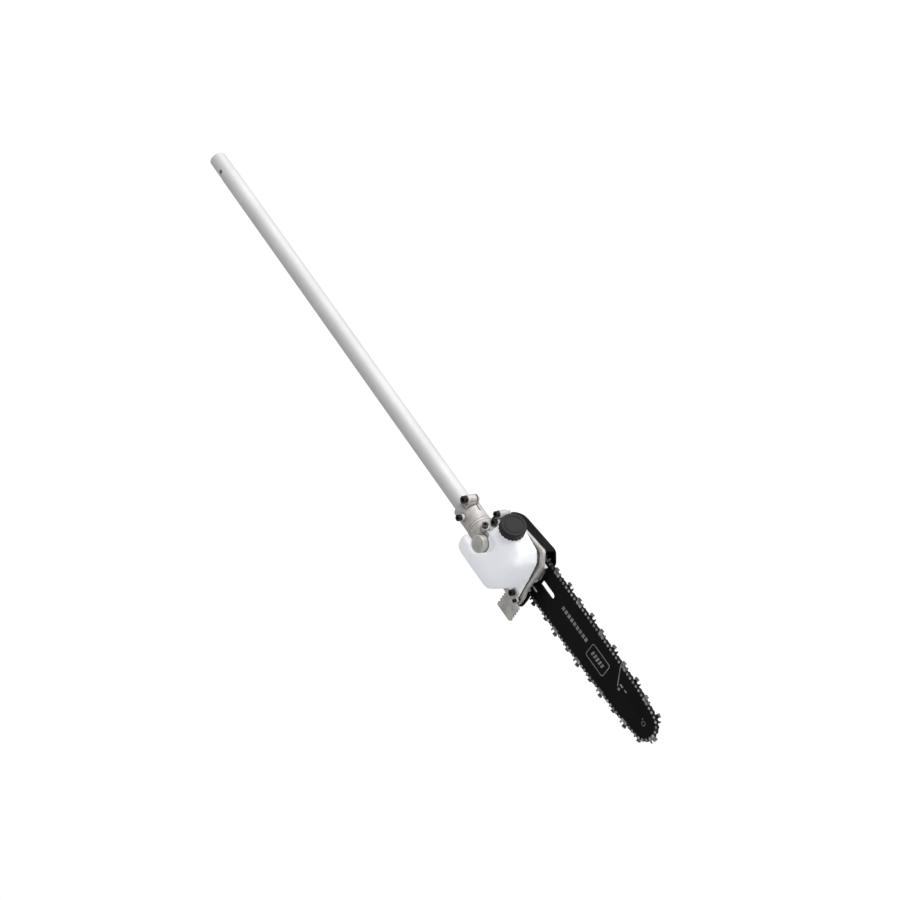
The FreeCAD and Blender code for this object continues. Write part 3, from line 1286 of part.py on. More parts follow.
def make_pickup():
    """Oil hose from the casting to the strainer that lies in the bottom of the tank."""
    bend = 12.0
    y_turn = 0.0
    path = Part.Wire([
        Part.LineSegment(Vector(HOSE_X, 19.4, HOSE_Z), Vector(HOSE_X, y_turn, HOSE_Z)).toShape(),
        Part.Arc(Vector(HOSE_X, y_turn, HOSE_Z),
                 Vector(HOSE_X + bend * (1 - math.sqrt(0.5)), y_turn - bend * math.sqrt(0.5), HOSE_Z),
                 Vector(HOSE_X + bend, y_turn - bend, HOSE_Z)).toShape(),
        Part.LineSegment(Vector(HOSE_X + bend, y_turn - bend, HOSE_Z),
                         Vector(HOSE_X + bend + 4.0, y_turn - bend, HOSE_Z)).toShape(),
    ])
    start = Vector(HOSE_X, 19.4, HOSE_Z)
    ring_wires = [Part.Wire(Part.makeCircle(r, start, Vector(0, -1, 0))) for r in (HOSE_R, 1.5)]
    outside, inside = [path.makePipeShell([w], True, False) for w in ring_wires]
    piece("oil_pickup_hose", shaped("oil_pickup_hose", outside.cut(inside)))
    x = HOSE_X + bend + 4.0
    body = rod("strainer_body", 4.6, 12.0, (x + 0.1, -bend, HOSE_Z))
    nose = cone("strainer_nose", 4.6, 3.4, 2.0, (x + 12.1, -bend, HOSE_Z))
    piece("oil_strainer", fuse("oil_strainer", [body, nose]))


CAP_FLUTES = 20
FLUTE_R = 1.6
RIM_GROOVE_R = 13.0
RIM_GROOVE_DEEP = 0.6


def make_oil_cap():
    """Screw cap with a ribbed skirt, and its sealing ring."""
    radius = dim.cap_d.value / 2
    tall = dim.cap_tall.value
    base = cap_base
    body = Part.makeCylinder(radius, tall, base, cap_lean)
    edges = [e for e in body.Edges if e.Length > 10 and len(e.Vertexes) == 1]
    top_edge = max(edges, key=lambda e: (e.CenterOfMass - base).dot(cap_lean))
    body = body.makeFillet(1.6, [top_edge])
    room = Part.makeCylinder(dim.neck_d.value / 2 + 0.3, tall - 2.4, base, cap_lean)
    body = body.cut(room)
    plug_top = base + cap_lean * (tall - 2.4)
    plug = Part.makeCylinder(dim.neck_bore.value / 2 - 0.4, 8.0, plug_top - cap_lean * 8.0, cap_lean)
    groove = Part.makeCylinder(dim.neck_bore.value / 2, 2.0, plug_top - cap_lean * 6.0, cap_lean)
    groove = groove.cut(Part.makeCylinder(8.2, 2.0, plug_top - cap_lean * 6.0, cap_lean))
    body = body.fuse(plug).cut(groove)
    across = Vector(0, 1, 0).cross(cap_lean).normalize()
    flutes = []
    for i in range(CAP_FLUTES):
        spot = Rotation(cap_lean, TURN * i / CAP_FLUTES).multVec(across) * (radius + FLUTE_R / 2)
        flutes.append(Part.makeCylinder(FLUTE_R, tall - 2.6, base - cap_lean * 1.0 + spot, cap_lean))
    body = body.cut(Part.makeCompound(flutes))
    top = base + cap_lean * tall
    rim_groove = Part.makeCylinder(RIM_GROOVE_R, 1.4, top - cap_lean * RIM_GROOVE_DEEP, cap_lean).cut(
        Part.makeCylinder(RIM_GROOVE_R - 1.2, 1.4, top - cap_lean * RIM_GROOVE_DEEP, cap_lean))
    body = body.cut(rim_groove)
    piece("oil_cap", shaped("oil_cap", body.removeSplitter()))
    seal_base = plug_top - cap_lean * 5.9
    seal = Part.makeCylinder(9.95, 1.8, seal_base, cap_lean).cut(
        Part.makeCylinder(8.25, 1.8, seal_base, cap_lean))
    piece("oil_cap_seal", shaped("oil_cap_seal", seal))


# ---------------------------------------------------------------------------
# Bumper under the head
# ---------------------------------------------------------------------------
BUMPER_Y = (11.6, 15.0)
BUMPER_SCREWS = ((808.2, -27.8, 2.5), (817.4, -33.0, 1.5))


def make_bumper():
    """Toothed plate that hooks on the limb, with teeth on both upright edges."""
    rear, front, low = 797.5, 829.0, -61.5
    teeth = 4
    pitch = 4.9
    depth = 2.6
    points = [(rear + 1.5, low), (front - 2.5, low), (front + 1.0, low + 3.0)]
    for i in range(teeth):
        z = low + 5.0 + pitch * i
        points.append((front - depth, z + pitch * 0.35))
        points.append((front, z + pitch * 0.55))
        points.append((front, z + pitch * 0.85))
    points.append((front - depth, low + 5.0 + pitch * teeth + 1.0))
    points.append((820.4, -35.9))
    points.append((820.4, -30.2))
    points.append((815.0, -28.6))
    points.append((814.2, -23.0))
    points.append((804.5, -23.0))
    points.append((rear + depth, -33.0))
    for i in reversed(range(teeth)):
        z = low + 6.5 + pitch * i
        points.append((rear, z + pitch * 0.85))
        points.append((rear, z + pitch * 0.55))
        points.append((rear + depth, z + pitch * 0.35))
    points.append((rear, low + 4.5))
    solid = plate("bumper_plate", points, BUMPER_Y[0], BUMPER_Y[1])
    holes = [rod("bumper_hole_%d" % i, r + 0.2, 10.0, (x, 8.0, z), "y")
             for i, (x, z, r) in enumerate(BUMPER_SCREWS)]
    piece("bumper", cut("bumper", solid, holes))
    screws = []
    for i, (x, z, r) in enumerate(BUMPER_SCREWS):
        screws.append(socket_screw("bumper_screw_%d" % (i + 1), (x, BUMPER_Y[0], z), "y", 1,
                                   r * 1.7, r * 2.0, r - PRESS_GAP, 12.4))
    piece("bumper_screws", group("bumper_screws", screws))


# ---------------------------------------------------------------------------
# Sprocket cover
# ---------------------------------------------------------------------------
COVER_FOOT = ((0.0, 0.0, 0.6), (799.0, 31.5, 11.5), (805.5, 24.5, 10.5), (814.2, -35.0, 10.5),
              (790.0, -33.0, 11.5))
COVER_BROW = ((0.0, 0.0, 0.0), (798.0, 29.0, 10.6), (804.4, 22.4, 10.4), (804.0, -28.0, 10.4),
              (788.0, -27.0, 11.4))
COVER_BROW_Y = 45.5
COVER_EDGE = ((0.0, 0.0), (3.2, 1.1), (4.8, 2.7), (5.5, 5.0))   # rise and draw-in of the round edge
MOUTH_LOW = -34.6
MOUTH_HIGH = 34.5
MOUTH_X = 798.0
MOUTH_Y = 46.4
ROOF_X = 802.0           # the roof ends here, while the outer face runs on to the front
COLUMN_R = 9.6           # columns that press on the bar
COLUMN_Y = 39.3
NUT_WELL_R = 9.0         # wells for the bar nuts
NUT_WELL_Y = 46.6


def cover_wire(circles, inset, y):
    """Outline round the sprocket at the rear and two pairs of round corners in front."""
    rear = (dim.out_x.value, 0.0, dim.cover_arc.value + circles[0][2])
    drawn = [(x, z, r - inset) for x, z, r in (rear,) + circles[1:]]
    return belt_wire(belt(drawn), y)


def make_sprocket_cover():
    """Moulded shell over the sprocket, open at the front for bar and chain."""
    wall = dim.cover_wall.value
    low = dim.flange_y.value
    high = dim.cover_y.value
    sections = [cover_wire(COVER_FOOT, 0.0, low)]
    sections += [cover_wire(COVER_BROW, inset, COVER_BROW_Y + rise) for rise, inset in COVER_EDGE]
    outer = Part.makeLoft(sections, True, True)
    hollows = [cover_wire(COVER_FOOT, wall, low - 1.0),
               cover_wire(COVER_BROW, wall, COVER_BROW_Y),
               cover_wire(COVER_BROW, wall + 1.6, high - wall)]
    inner = Part.makeLoft(hollows, True, True)
    shell = outer.cut(inner)
    z = dim.slot_z.value
    across = Vector(0, 1, 0)
    columns = []
    holes = []
    for x in stud_x:
        columns.append(Part.makeCylinder(COLUMN_R, high - wall - COLUMN_Y, Vector(x, COLUMN_Y, z), across))
        holes.append(Part.makeCylinder(stud_r.value + 0.3, 40, Vector(x, 20, z), across))
        holes.append(Part.makeCylinder(NUT_WELL_R, 20, Vector(x, NUT_WELL_Y, z), across))
    shell = shell.multiFuse(columns)
    mouth = Part.makeBox(40, MOUTH_Y - low + 1, MOUTH_HIGH - MOUTH_LOW, Vector(MOUTH_X, low - 1, MOUTH_LOW))
    roof = Part.makeBox(40, MOUTH_Y - low + 1, 40, Vector(ROOF_X, low - 1, MOUTH_HIGH - 10.0))
    shell = shell.cut(Part.makeCompound(holes)).cut(mouth.fuse(roof))
    return piece("sprocket_cover", shaped("sprocket_cover", shell.removeSplitter()))


# ---------------------------------------------------------------------------
# Build everything, check it, write one STEP file for each piece
# ---------------------------------------------------------------------------
def build():
    make_pole_tube()
    make_shaft_bushings()
    make_drive_shaft()
    make_bevel_pinion()
    make_bevel_gear()
    make_bearings()
    make_circlip()
    make_gearcase()
    make_case_fasteners()
    make_output_shaft()
    make_output_seal()
    make_pump_worm()
    make_pump_plunger()
    make_pump_body()
    make_drive_sprocket()
    make_sprocket_retainers()
    make_chain()
    make_guide_bar()
    make_drive_housing()
    make_bar_hardware()
    make_guide_plate()
    make_tensioner()
    make_oil_tank()
    make_gasket()
    make_pickup()
    make_oil_cap()
    make_bumper()
    make_sprocket_cover()


def check():
    """Stop if any object failed or any piece is empty or invalid."""
    doc.recompute()
    for obj in doc.Objects:
        if "Invalid" in obj.State or "Error" in obj.State:
            raise RuntimeError("%s did not build: %s" % (obj.Label, obj.State))
    for obj in PIECES:
        if obj.Shape.isNull() or not obj.Shape.isValid():
            raise RuntimeError("%s has no valid shape" % obj.Label)


def write():
    os.makedirs("parts", exist_ok=True)
    for obj in PIECES:
        obj.Shape.exportStep(os.path.join("parts", obj.Label + ".step"))
        box = obj.Shape.BoundBox
        print("%-30s solids %3d  volume %10.1f  x %7.1f..%7.1f  y %6.1f..%6.1f  z %6.1f..%6.1f" % (
            obj.Label, len(obj.Shape.Solids), obj.Shape.Volume,
            box.XMin, box.XMax, box.YMin, box.YMax, box.ZMin, box.ZMax))


build()
check()
write()
print("nose axis x = %.3f, chain links = %d, pieces = %d" % (nose_x, LOOP_LINKS, len(PIECES)))
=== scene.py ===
import json
import math

import bmesh
import bpy
import numpy as np
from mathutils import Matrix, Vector


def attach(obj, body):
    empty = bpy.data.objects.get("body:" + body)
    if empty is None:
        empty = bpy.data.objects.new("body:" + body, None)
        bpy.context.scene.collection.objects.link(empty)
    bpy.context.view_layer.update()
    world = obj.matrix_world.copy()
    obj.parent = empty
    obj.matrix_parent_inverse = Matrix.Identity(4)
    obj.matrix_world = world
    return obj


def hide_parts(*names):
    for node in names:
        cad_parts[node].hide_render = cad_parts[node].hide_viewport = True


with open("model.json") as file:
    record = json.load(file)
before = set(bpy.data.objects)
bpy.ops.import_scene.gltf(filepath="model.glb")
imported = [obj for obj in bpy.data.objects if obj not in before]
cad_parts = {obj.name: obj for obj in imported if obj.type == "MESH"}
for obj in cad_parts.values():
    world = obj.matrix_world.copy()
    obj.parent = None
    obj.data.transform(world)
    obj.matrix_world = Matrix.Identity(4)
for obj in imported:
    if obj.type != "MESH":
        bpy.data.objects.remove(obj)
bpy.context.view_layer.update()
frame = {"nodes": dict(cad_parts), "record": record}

nodes = frame["nodes"]

# Sizes on the part are in millimetres and are multiplied by MM. The stage is in metres.
MM = 0.001


# ---------------------------------------------------------------------------
# Camera, floor and light
# ---------------------------------------------------------------------------
CAMERA_PLACE = (1.88171, -1.86245, 1.55073)
CAMERA_TURN = (51.0926, -27.2041, 54.4796)      # degrees about X, Y and Z
LENS = 84.16             # millimetres, as is the sensor
SENSOR = 36.0
VIEW_DEPTH = 100.0

FLOOR_HALF = 30.0
FLOOR_LEVEL = -0.55
FLOOR_LIT = 0.38         # grey that throws light back at the part
FLOOR_SEEN = 0.70        # grey that the camera sees
WORLD_LIT = 0.3
WORLD_SEEN = 1.0

# Sockets of a mix node that mixes two colours
MIX_FACTOR = 0
MIX_FIRST = 6
MIX_SECOND = 7
MIX_RESULT = 2


def make_camera():
    """Camera on the tank side, above and ahead of the bar, looking back at the head."""
    data = bpy.data.cameras.new("camera")
    data.sensor_width = SENSOR
    data.lens = LENS
    data.clip_end = VIEW_DEPTH
    camera = bpy.data.objects.new("camera", data)
    camera.location = CAMERA_PLACE
    camera.rotation_euler = [math.radians(angle) for angle in CAMERA_TURN]
    bpy.context.scene.collection.objects.link(camera)
    bpy.context.scene.camera = camera


def colour_mix(tree, factor, first, second):
    """Socket with a mix of two colours, each a tuple or a socket; the factor is a socket."""
    mixer = tree.nodes.new("ShaderNodeMix")
    mixer.data_type = "RGBA"
    tree.links.new(factor, mixer.inputs[MIX_FACTOR])
    for place, colour in ((MIX_FIRST, first), (MIX_SECOND, second)):
        if isinstance(colour, tuple):
            mixer.inputs[place].default_value = (*colour, 1)
        else:
            tree.links.new(colour, mixer.inputs[place])
    return mixer.outputs[MIX_RESULT]


def seen_directly(tree):
    """1 where the camera looks at the stage itself, 0 where light from it falls on something.

    Only the floor and the world use it; the part's own materials do not.
    """
    return tree.nodes.new("ShaderNodeLightPath").outputs["Is Camera Ray"]


def make_floor():
    """Wide pale floor well below the part; it throws back less light than it shows."""
    mesh = bpy.data.meshes.new("floor")
    signs = ((-1, -1), (1, -1), (1, 1), (-1, 1))
    corners = [(x * FLOOR_HALF, y * FLOOR_HALF, FLOOR_LEVEL) for x, y in signs]
    mesh.from_pydata(corners, [], [(0, 1, 2, 3)])
    floor = bpy.data.objects.new("floor", mesh)
    bpy.context.scene.collection.objects.link(floor)
    material = bpy.data.materials.new("floor_paper")
    material.use_nodes = True
    tree = material.node_tree
    shader = tree.nodes["Principled BSDF"]
    paper = colour_mix(tree, seen_directly(tree), (FLOOR_LIT,) * 3, (FLOOR_SEEN,) * 3)
    tree.links.new(paper, shader.inputs["Base Color"])
    shader.inputs["Roughness"].default_value = 0.95
    shader.inputs["Specular IOR Level"].default_value = 0.0
    floor.data.materials.append(material)


def make_light(name, towards, spread, strength):
    """Soft light from far away, spread over that many degrees of sky."""
    data = bpy.data.lights.new(name, "SUN")
    data.angle = math.radians(spread)
    data.energy = strength
    lamp = bpy.data.objects.new(name, data)
    lamp.rotation_euler = Vector(towards).to_track_quat("-Z", "Y").to_euler()
    bpy.context.scene.collection.objects.link(lamp)


def make_lights():
    """A wide soft light overhead, a faint one from the tank side, and an even surround."""
    world = bpy.data.worlds.new("studio")
    world.use_nodes = True
    tree = world.node_tree
    sky = tree.nodes["Background"]
    sky.inputs["Color"].default_value = (1, 1, 1, 1)
    level = tree.nodes.new("ShaderNodeMapRange")
    level.inputs["To Min"].default_value = WORLD_LIT
    level.inputs["To Max"].default_value = WORLD_SEEN
    tree.links.new(seen_directly(tree), level.inputs["Value"])
    tree.links.new(level.outputs["Result"], sky.inputs["Strength"])
    bpy.context.scene.world = world
    make_light("overhead", towards=(0.05, -0.10, -1.0), spread=75.0, strength=3.7)
    make_light("side", towards=(-0.55, 1.0, -0.35), spread=60.0, strength=0.35)
    bpy.context.scene.view_settings.view_transform = "Standard"


# ---------------------------------------------------------------------------
# Materials
# ---------------------------------------------------------------------------
GLOSS_BAND = (0.35, 0.65)    # noise below and above this band gives the two ends of the gloss
RANGE_SOCKETS = ("From Min", "From Max", "To Min", "To Max")


def darker(colour, share):
    """The colour with that share of its brightness."""
    return tuple(share * channel for channel in colour)


class Finish:
    """One material on the principled shader, with its texture nodes in object coordinates."""

    def __init__(self, name, colour, roughness, metallic=0.0, **sockets):
        self.material = bpy.data.materials.new(name)
        self.material.use_nodes = True
        self.tree = self.material.node_tree
        self.shader = self.tree.nodes["Principled BSDF"]
        self.where = self.node("ShaderNodeTexCoord").outputs["Object"]
        self.shader.inputs["Base Color"].default_value = (*colour, 1)
        self.shader.inputs["Roughness"].default_value = roughness
        self.shader.inputs["Metallic"].default_value = metallic
        for socket, value in sockets.items():
            self.shader.inputs[socket.replace("_", " ")].default_value = value

    def node(self, kind):
        """A new node of that kind."""
        return self.tree.nodes.new(kind)

    def link(self, source, target):
        """Join an output socket to an input socket."""
        self.tree.links.new(source, target)

    def stretch(self, x, y, z):
        """Object coordinates scaled along each axis; a small scale draws the texture out."""
        mapping = self.node("ShaderNodeMapping")
        mapping.inputs["Scale"].default_value = (x, y, z)
        self.link(self.where, mapping.inputs["Vector"])
        return mapping.outputs["Vector"]

    def noise(self, size, detail=3.0, where=None):
        """Cloudy texture whose patches are about that many millimetres across."""
        texture = self.node("ShaderNodeTexNoise")
        texture.inputs["Scale"].default_value = 1.0 / (size * MM)
        texture.inputs["Detail"].default_value = detail
        self.link(where or self.where, texture.inputs["Vector"])
        return texture.outputs["Fac"]

    def cells(self, size):
        """Distance to scattered points about that many millimetres apart."""
        texture = self.node("ShaderNodeTexVoronoi")
        texture.inputs["Scale"].default_value = 1.0 / (size * MM)
        self.link(self.where, texture.inputs["Vector"])
        return texture.outputs["Distance"]

    def attribute(self, name):
        """The number that the mesh keeps under that name at each point."""
        reader = self.node("ShaderNodeAttribute")
        reader.attribute_name = name
        return reader.outputs["Fac"]

    def spread(self, value, low, high, to_low=0.0, to_high=1.0):
        """The value mapped from low..high to another range, held at its ends."""
        mapper = self.node("ShaderNodeMapRange")
        self.link(value, mapper.inputs["Value"])
        for socket, number in zip(RANGE_SOCKETS, (low, high, to_low, to_high)):
            mapper.inputs[socket].default_value = number
        return mapper.outputs["Result"]

    def blend(self, factor, first, second):
        """Colour mix; each colour is a tuple or a socket."""
        return colour_mix(self.tree, factor, first, second)

    def tint(self, colour):
        """Give the surface the colour of that socket."""
        self.link(colour, self.shader.inputs["Base Color"])

    def gloss(self, value, low, high):
        """Roughness that follows the texture from low to high."""
        self.link(self.spread(value, *GLOSS_BAND, low, high), self.shader.inputs["Roughness"])

    def relief(self, *layers):
        """Bumps; each layer is a texture and its depth in millimetres."""
        normal = None
        for value, depth in layers:
            bump = self.node("ShaderNodeBump")
            bump.inputs["Strength"].default_value = 1.0
            bump.inputs["Distance"].default_value = depth * MM
            self.link(value, bump.inputs["Height"])
            if normal:
                self.link(normal, bump.inputs["Normal"])
            normal = bump.outputs["Normal"]
        self.link(normal, self.shader.inputs["Normal"])


def satin_tube():
    """Clear anodised tube: fine lengthwise drawing lines under an even satin haze."""
    look = Finish("satin_tube", (0.63, 0.625, 0.63), roughness=0.5, metallic=0.15)
    lines = look.noise(0.7, where=look.stretch(0.012, 1, 1))
    haze = look.noise(55.0, detail=2.0)
    base = look.blend(look.spread(haze, 0.3, 0.7), (0.575, 0.57, 0.575), (0.635, 0.63, 0.635))
    look.tint(look.blend(look.spread(lines, 0.45, 0.75, to_high=0.35), base, (0.48, 0.48, 0.485)))
    look.gloss(lines, 0.46, 0.6)
    look.relief((lines, 0.012))
    return look.material


def cast_metal(name, dark, light, grain):
    """Bead-blasted casting: mottled, pitted, paler on its edges, with painted shade darkening its
    corners.
    """
    look = Finish(name, light, roughness=0.55, metallic=0.25)
    mottle = look.noise(9.0, detail=4.0)
    sand = look.noise(grain, detail=4.0)
    pits = look.cells(2.6 * grain)
    edge = look.attribute("edge")
    base = look.blend(look.spread(mottle, 0.32, 0.68), dark, light)
    base = look.blend(look.spread(pits, 0.0, 0.22, to_low=0.4, to_high=0.0), base, darker(dark, 0.55))
    base = look.blend(look.spread(edge, 0.5, 0.9, to_high=0.45), base, (0.68, 0.67, 0.65))
    # Painted shade: where the smoothing pulled points in, in hollow corners, the colour darkens towards
    # a deep grey
    look.tint(look.blend(look.spread(edge, 0.5, 0.25, to_high=0.9), base, darker(dark, 0.35)))
    look.gloss(sand, 0.46, 0.66)
    look.relief((mottle, 0.16), (sand, 0.10), (pits, 0.05))
    return look.material


def bar_paint():
    """Thin satin black paint on ground steel, with faint lengthwise scuffs."""
    look = Finish("bar_paint", (0.004, 0.004, 0.005), roughness=0.42, Specular_IOR_Level=0.07)
    scuffs = look.noise(0.6, detail=4.0, where=look.stretch(0.03, 1, 1))
    haze = look.noise(30.0)
    base = look.blend(look.spread(haze, 0.3, 0.7), (0.003, 0.003, 0.0035), (0.006, 0.006, 0.007))
    look.tint(look.blend(look.spread(scuffs, 0.66, 0.78, to_high=0.5), base, (0.03, 0.03, 0.031)))
    look.gloss(haze, 0.36, 0.5)
    look.relief((look.noise(0.5, detail=2.0), 0.006), (scuffs, 0.006))
    return look.material


def steel(name, dark, light, roughness, grain, metallic=1.0):
    """Small metal parts: cloudy tone, fine grain, uneven gloss."""
    look = Finish(name, light, roughness[0], metallic)
    cloud = look.noise(5.0 * grain)
    fine = look.noise(grain)
    look.tint(look.blend(look.spread(cloud, 0.35, 0.65), dark, light))
    look.gloss(fine, *roughness)
    look.relief((fine, 0.012))
    return look.material


def moulded(name, dark, light, roughness, grain, depth, **sockets):
    """Moulded plastic, rubber, paint or felt: a fine grain and a soft change of tone."""
    look = Finish(name, light, roughness[0], **sockets)
    cloud = look.noise(22.0, detail=2.0)
    skin = look.cells(grain)
    look.tint(look.blend(look.spread(cloud, 0.35, 0.65), dark, light))
    look.gloss(cloud, *roughness)
    look.relief((skin, depth), (look.noise(6.0, detail=2.0), depth))
    return look.material


def tank_plastic():
    """Milky moulded tank with faint flow marks and a painted glow, light of its own that stands in for
    light coming through its walls.
    """
    # Painted glow: the emission gives the tank a faint pale blue-white light of its own
    look = Finish("tank_plastic", (0.58, 0.585, 0.605), roughness=0.5, Specular_IOR_Level=0.3,
                  Subsurface_Weight=0.5, Subsurface_Scale=6.0 * MM, Emission_Strength=0.29)
    look.shader.inputs["Emission Color"].default_value = (0.93, 0.94, 1.0, 1)
    look.shader.inputs["Subsurface Radius"].default_value = (1.0, 1.0, 1.05)
    flow = look.noise(28.0, where=look.stretch(0.5, 1, 1))
    look.tint(look.blend(look.spread(flow, 0.35, 0.65), (0.565, 0.57, 0.59), (0.595, 0.60, 0.62)))
    look.gloss(look.noise(9.0), 0.42, 0.56)
    look.relief((look.noise(0.8), 0.010), (look.noise(16.0, detail=2.0), 0.12))
    return look.material


def gasket_sheet():
    """Dark sealing sheet with pale patches where it has squeezed out."""
    look = Finish("gasket_sheet", (0.02, 0.02, 0.019), roughness=0.8)
    patches = look.noise(11.0)
    look.tint(look.blend(look.spread(patches, 0.5, 0.6), (0.010, 0.010, 0.010), (0.17, 0.165, 0.16)))
    look.gloss(patches, 0.7, 0.85)
    look.relief((look.noise(0.6), 0.02))
    return look.material


# Finish of each material slot in the record. A range of roughness is its smooth and its rough end;
# grain is the size of the texture and depth is that of its bumps, both in millimetres.
FINISHES = {
    "satin_aluminium": satin_tube(),
    "cast_aluminium": cast_metal("cast_grey", dark=(0.40, 0.38, 0.365), light=(0.56, 0.54, 0.52),
                                 grain=0.9),
    "black_bar": bar_paint(),
    "chain_steel": steel("chain_steel", dark=(0.010, 0.010, 0.011), light=(0.045, 0.045, 0.047),
                         roughness=(0.2, 0.4), grain=1.2, metallic=0.8),
    "cutter_chrome": steel("cutter_chrome", dark=(0.12, 0.12, 0.124), light=(0.34, 0.34, 0.35),
                           roughness=(0.16, 0.34), grain=1.4),
    "bright_steel": steel("bright_steel", dark=(0.42, 0.42, 0.43), light=(0.62, 0.62, 0.63),
                          roughness=(0.22, 0.38), grain=0.7),
    "black_screw": steel("black_screw", dark=(0.006, 0.006, 0.007), light=(0.022, 0.022, 0.024),
                         roughness=(0.2, 0.36), grain=0.5, metallic=0.4),
    "zinc_steel": steel("zinc_steel", dark=(0.36, 0.365, 0.375), light=(0.58, 0.585, 0.60),
                        roughness=(0.26, 0.45), grain=1.2),
    "black_plastic": moulded("cover_plastic", dark=(0.004, 0.004, 0.005), light=(0.008, 0.008, 0.009),
                             roughness=(0.40, 0.52), grain=0.45, depth=0.02, Specular_IOR_Level=0.07),
    "tank_plastic": tank_plastic(),
    "rubber_black": gasket_sheet(),
    "hose_rubber": moulded("hose_rubber", dark=(0.015, 0.015, 0.014), light=(0.03, 0.03, 0.028),
                           roughness=(0.5, 0.65), grain=0.6, depth=0.02),
    "liner_plastic": moulded("liner_plastic", dark=(0.60, 0.60, 0.56), light=(0.70, 0.70, 0.66),
                             roughness=(0.4, 0.55), grain=0.8, depth=0.01),
    "felt": moulded("felt", dark=(0.34, 0.32, 0.28), light=(0.52, 0.50, 0.45),
                    roughness=(0.85, 0.95), grain=0.35, depth=0.10),
}
CAP_PLASTIC = moulded("cap_plastic", dark=(0.012, 0.012, 0.013), light=(0.022, 0.021, 0.023),
                      roughness=(0.42, 0.55), grain=0.5, depth=0.03, Specular_IOR_Level=0.16)
PRINT_PAINT = moulded("print_paint", dark=(0.12, 0.12, 0.125), light=(0.27, 0.27, 0.275),
                      roughness=(0.5, 0.65), grain=0.5, depth=0.01)
RIVET_STEEL = steel("rivet_steel", dark=(0.16, 0.16, 0.16), light=(0.58, 0.58, 0.59),
                    roughness=(0.2, 0.36), grain=1.5)

# Nodes that look different from the rest of their slot
ODD_FINISHES = {
    "oil_cap": CAP_PLASTIC,
    "nose_rivets": FINISHES["black_bar"],
    "chain_rivets": RIVET_STEEL,
}


def paint_nodes():
    """Every CAD node takes the finish of its own material slot, or its odd one."""
    for row in frame["record"]["subparts"]:
        finish = ODD_FINISHES.get(row["node"], FINISHES[row["material_slot"]])
        for slot in nodes[row["node"]].material_slots:
            slot.material = finish


# ---------------------------------------------------------------------------
# Softened copies of CAD nodes
# ---------------------------------------------------------------------------
WELD_GAP = 0.001         # seam points closer than this are joined
SMOOTH_SHARE = 0.5       # how far one pass moves a free point towards its neighbours
EDGE_RANGE = 0.35        # movement that takes the attribute edge from 0 to 1


def new_piece(name, mesh, body, material):
    """A visible piece that moves with a CAD body."""
    piece = bpy.data.objects.new(name, mesh)
    bpy.context.scene.collection.objects.link(piece)
    mesh.materials.clear()
    mesh.materials.append(material)
    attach(piece, body)
    return piece


def welded_copy(node):
    """The CAD node's mesh, joined up along its seams."""
    form = bmesh.new()
    form.from_mesh(nodes[node].data)
    bmesh.ops.remove_doubles(form, verts=form.verts, dist=WELD_GAP * MM)
    mesh = bpy.data.meshes.new(node + "_copy")
    form.to_mesh(mesh)
    form.free()
    return mesh


def even_grid(mesh, voxel):
    """The closed form rebuilt as an even grid of faces, voxel millimetres across."""
    carrier = bpy.data.objects.new("carrier", mesh)
    bpy.context.scene.collection.objects.link(carrier)
    modifier = carrier.modifiers.new("grid", "REMESH")
    modifier.mode = "VOXEL"
    modifier.voxel_size = voxel * MM
    modifier.use_smooth_shade = True
    graph = bpy.context.evaluated_depsgraph_get()
    even = bpy.data.meshes.new_from_object(carrier.evaluated_get(graph))
    bpy.data.objects.remove(carrier)
    return even


def rows_of(source, name, count, width, kind=float):
    """One attribute of all the mesh's points or edges, as rows of that width."""
    flat = np.empty(count * width, dtype=kind)
    source.foreach_get(name, flat)
    return flat.reshape(-1, width)


def relax(mesh, passes, freedom):
    """Smooth the mesh and keep, as the attribute edge, how far each point was out (above 0.5) or in."""
    count = len(mesh.vertices)
    points = rows_of(mesh.vertices, "co", count, 3)
    normals = rows_of(mesh.vertices, "normal", count, 3)
    ends = rows_of(mesh.edges, "vertices", len(mesh.edges), 2, np.int64)
    here = np.concatenate((ends[:, 0], ends[:, 1]))
    there = np.concatenate((ends[:, 1], ends[:, 0]))
    links = np.maximum(np.bincount(here, minlength=count), 1)[:, None]
    share = (SMOOTH_SHARE * freedom(points))[:, None]
    start = points.copy()
    for _ in range(passes):
        sums = [np.bincount(here, points[there, axis], count) for axis in range(3)]
        points += (np.stack(sums, 1) / links - points) * share
    out = ((start - points) * normals).sum(1) / (EDGE_RANGE * MM)
    mesh.vertices.foreach_set("co", points.ravel())
    edge = mesh.attributes.new("edge", "FLOAT", "POINT")
    edge.data.foreach_set("value", np.clip(0.5 + out, 0, 1))
    mesh.update()


def free_everywhere(points):
    """Every point may move."""
    return np.ones(len(points))


def soft_form(node, name, voxel, passes, slot="cast_aluminium", freedom=free_everywhere):
    """A moulded or cast version of a CAD node of the head, with round edges and filled corners."""
    mesh = even_grid(welded_copy(node), voxel)
    relax(mesh, passes, freedom)
    piece = new_piece(name, mesh, "head", FINISHES[slot])
    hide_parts(node)


# ---------------------------------------------------------------------------
# Tank and castings
# ---------------------------------------------------------------------------
# Lines in the tank, each a point and a direction as in the part's source, and the distances from
# them within which the form is held and past which it is free
NECK_LINE = ((763.4, -6.6, 46.4), (0.06, -0.34, 0.94))
NECK_ROOM = (18.0, 27.0)
SCOOP_LINE = ((736.0, 6.0, -11.0), (0.45, -0.72, 0.53))
SCOOP_ROOM = (19.0, 32.0)
FLANGE_ROOM = (0.0, 9.0)     # along Y: free below the first place and held above the second
LEAST_FREE = 0.1             # what is left of the smoothing where the form is held


def smooth_step(value, low, high):
    """0 below low, 1 above high and a smooth rise between them."""
    part = np.clip((value - low) / (high - low), 0, 1)
    return part * part * (3 - 2 * part)


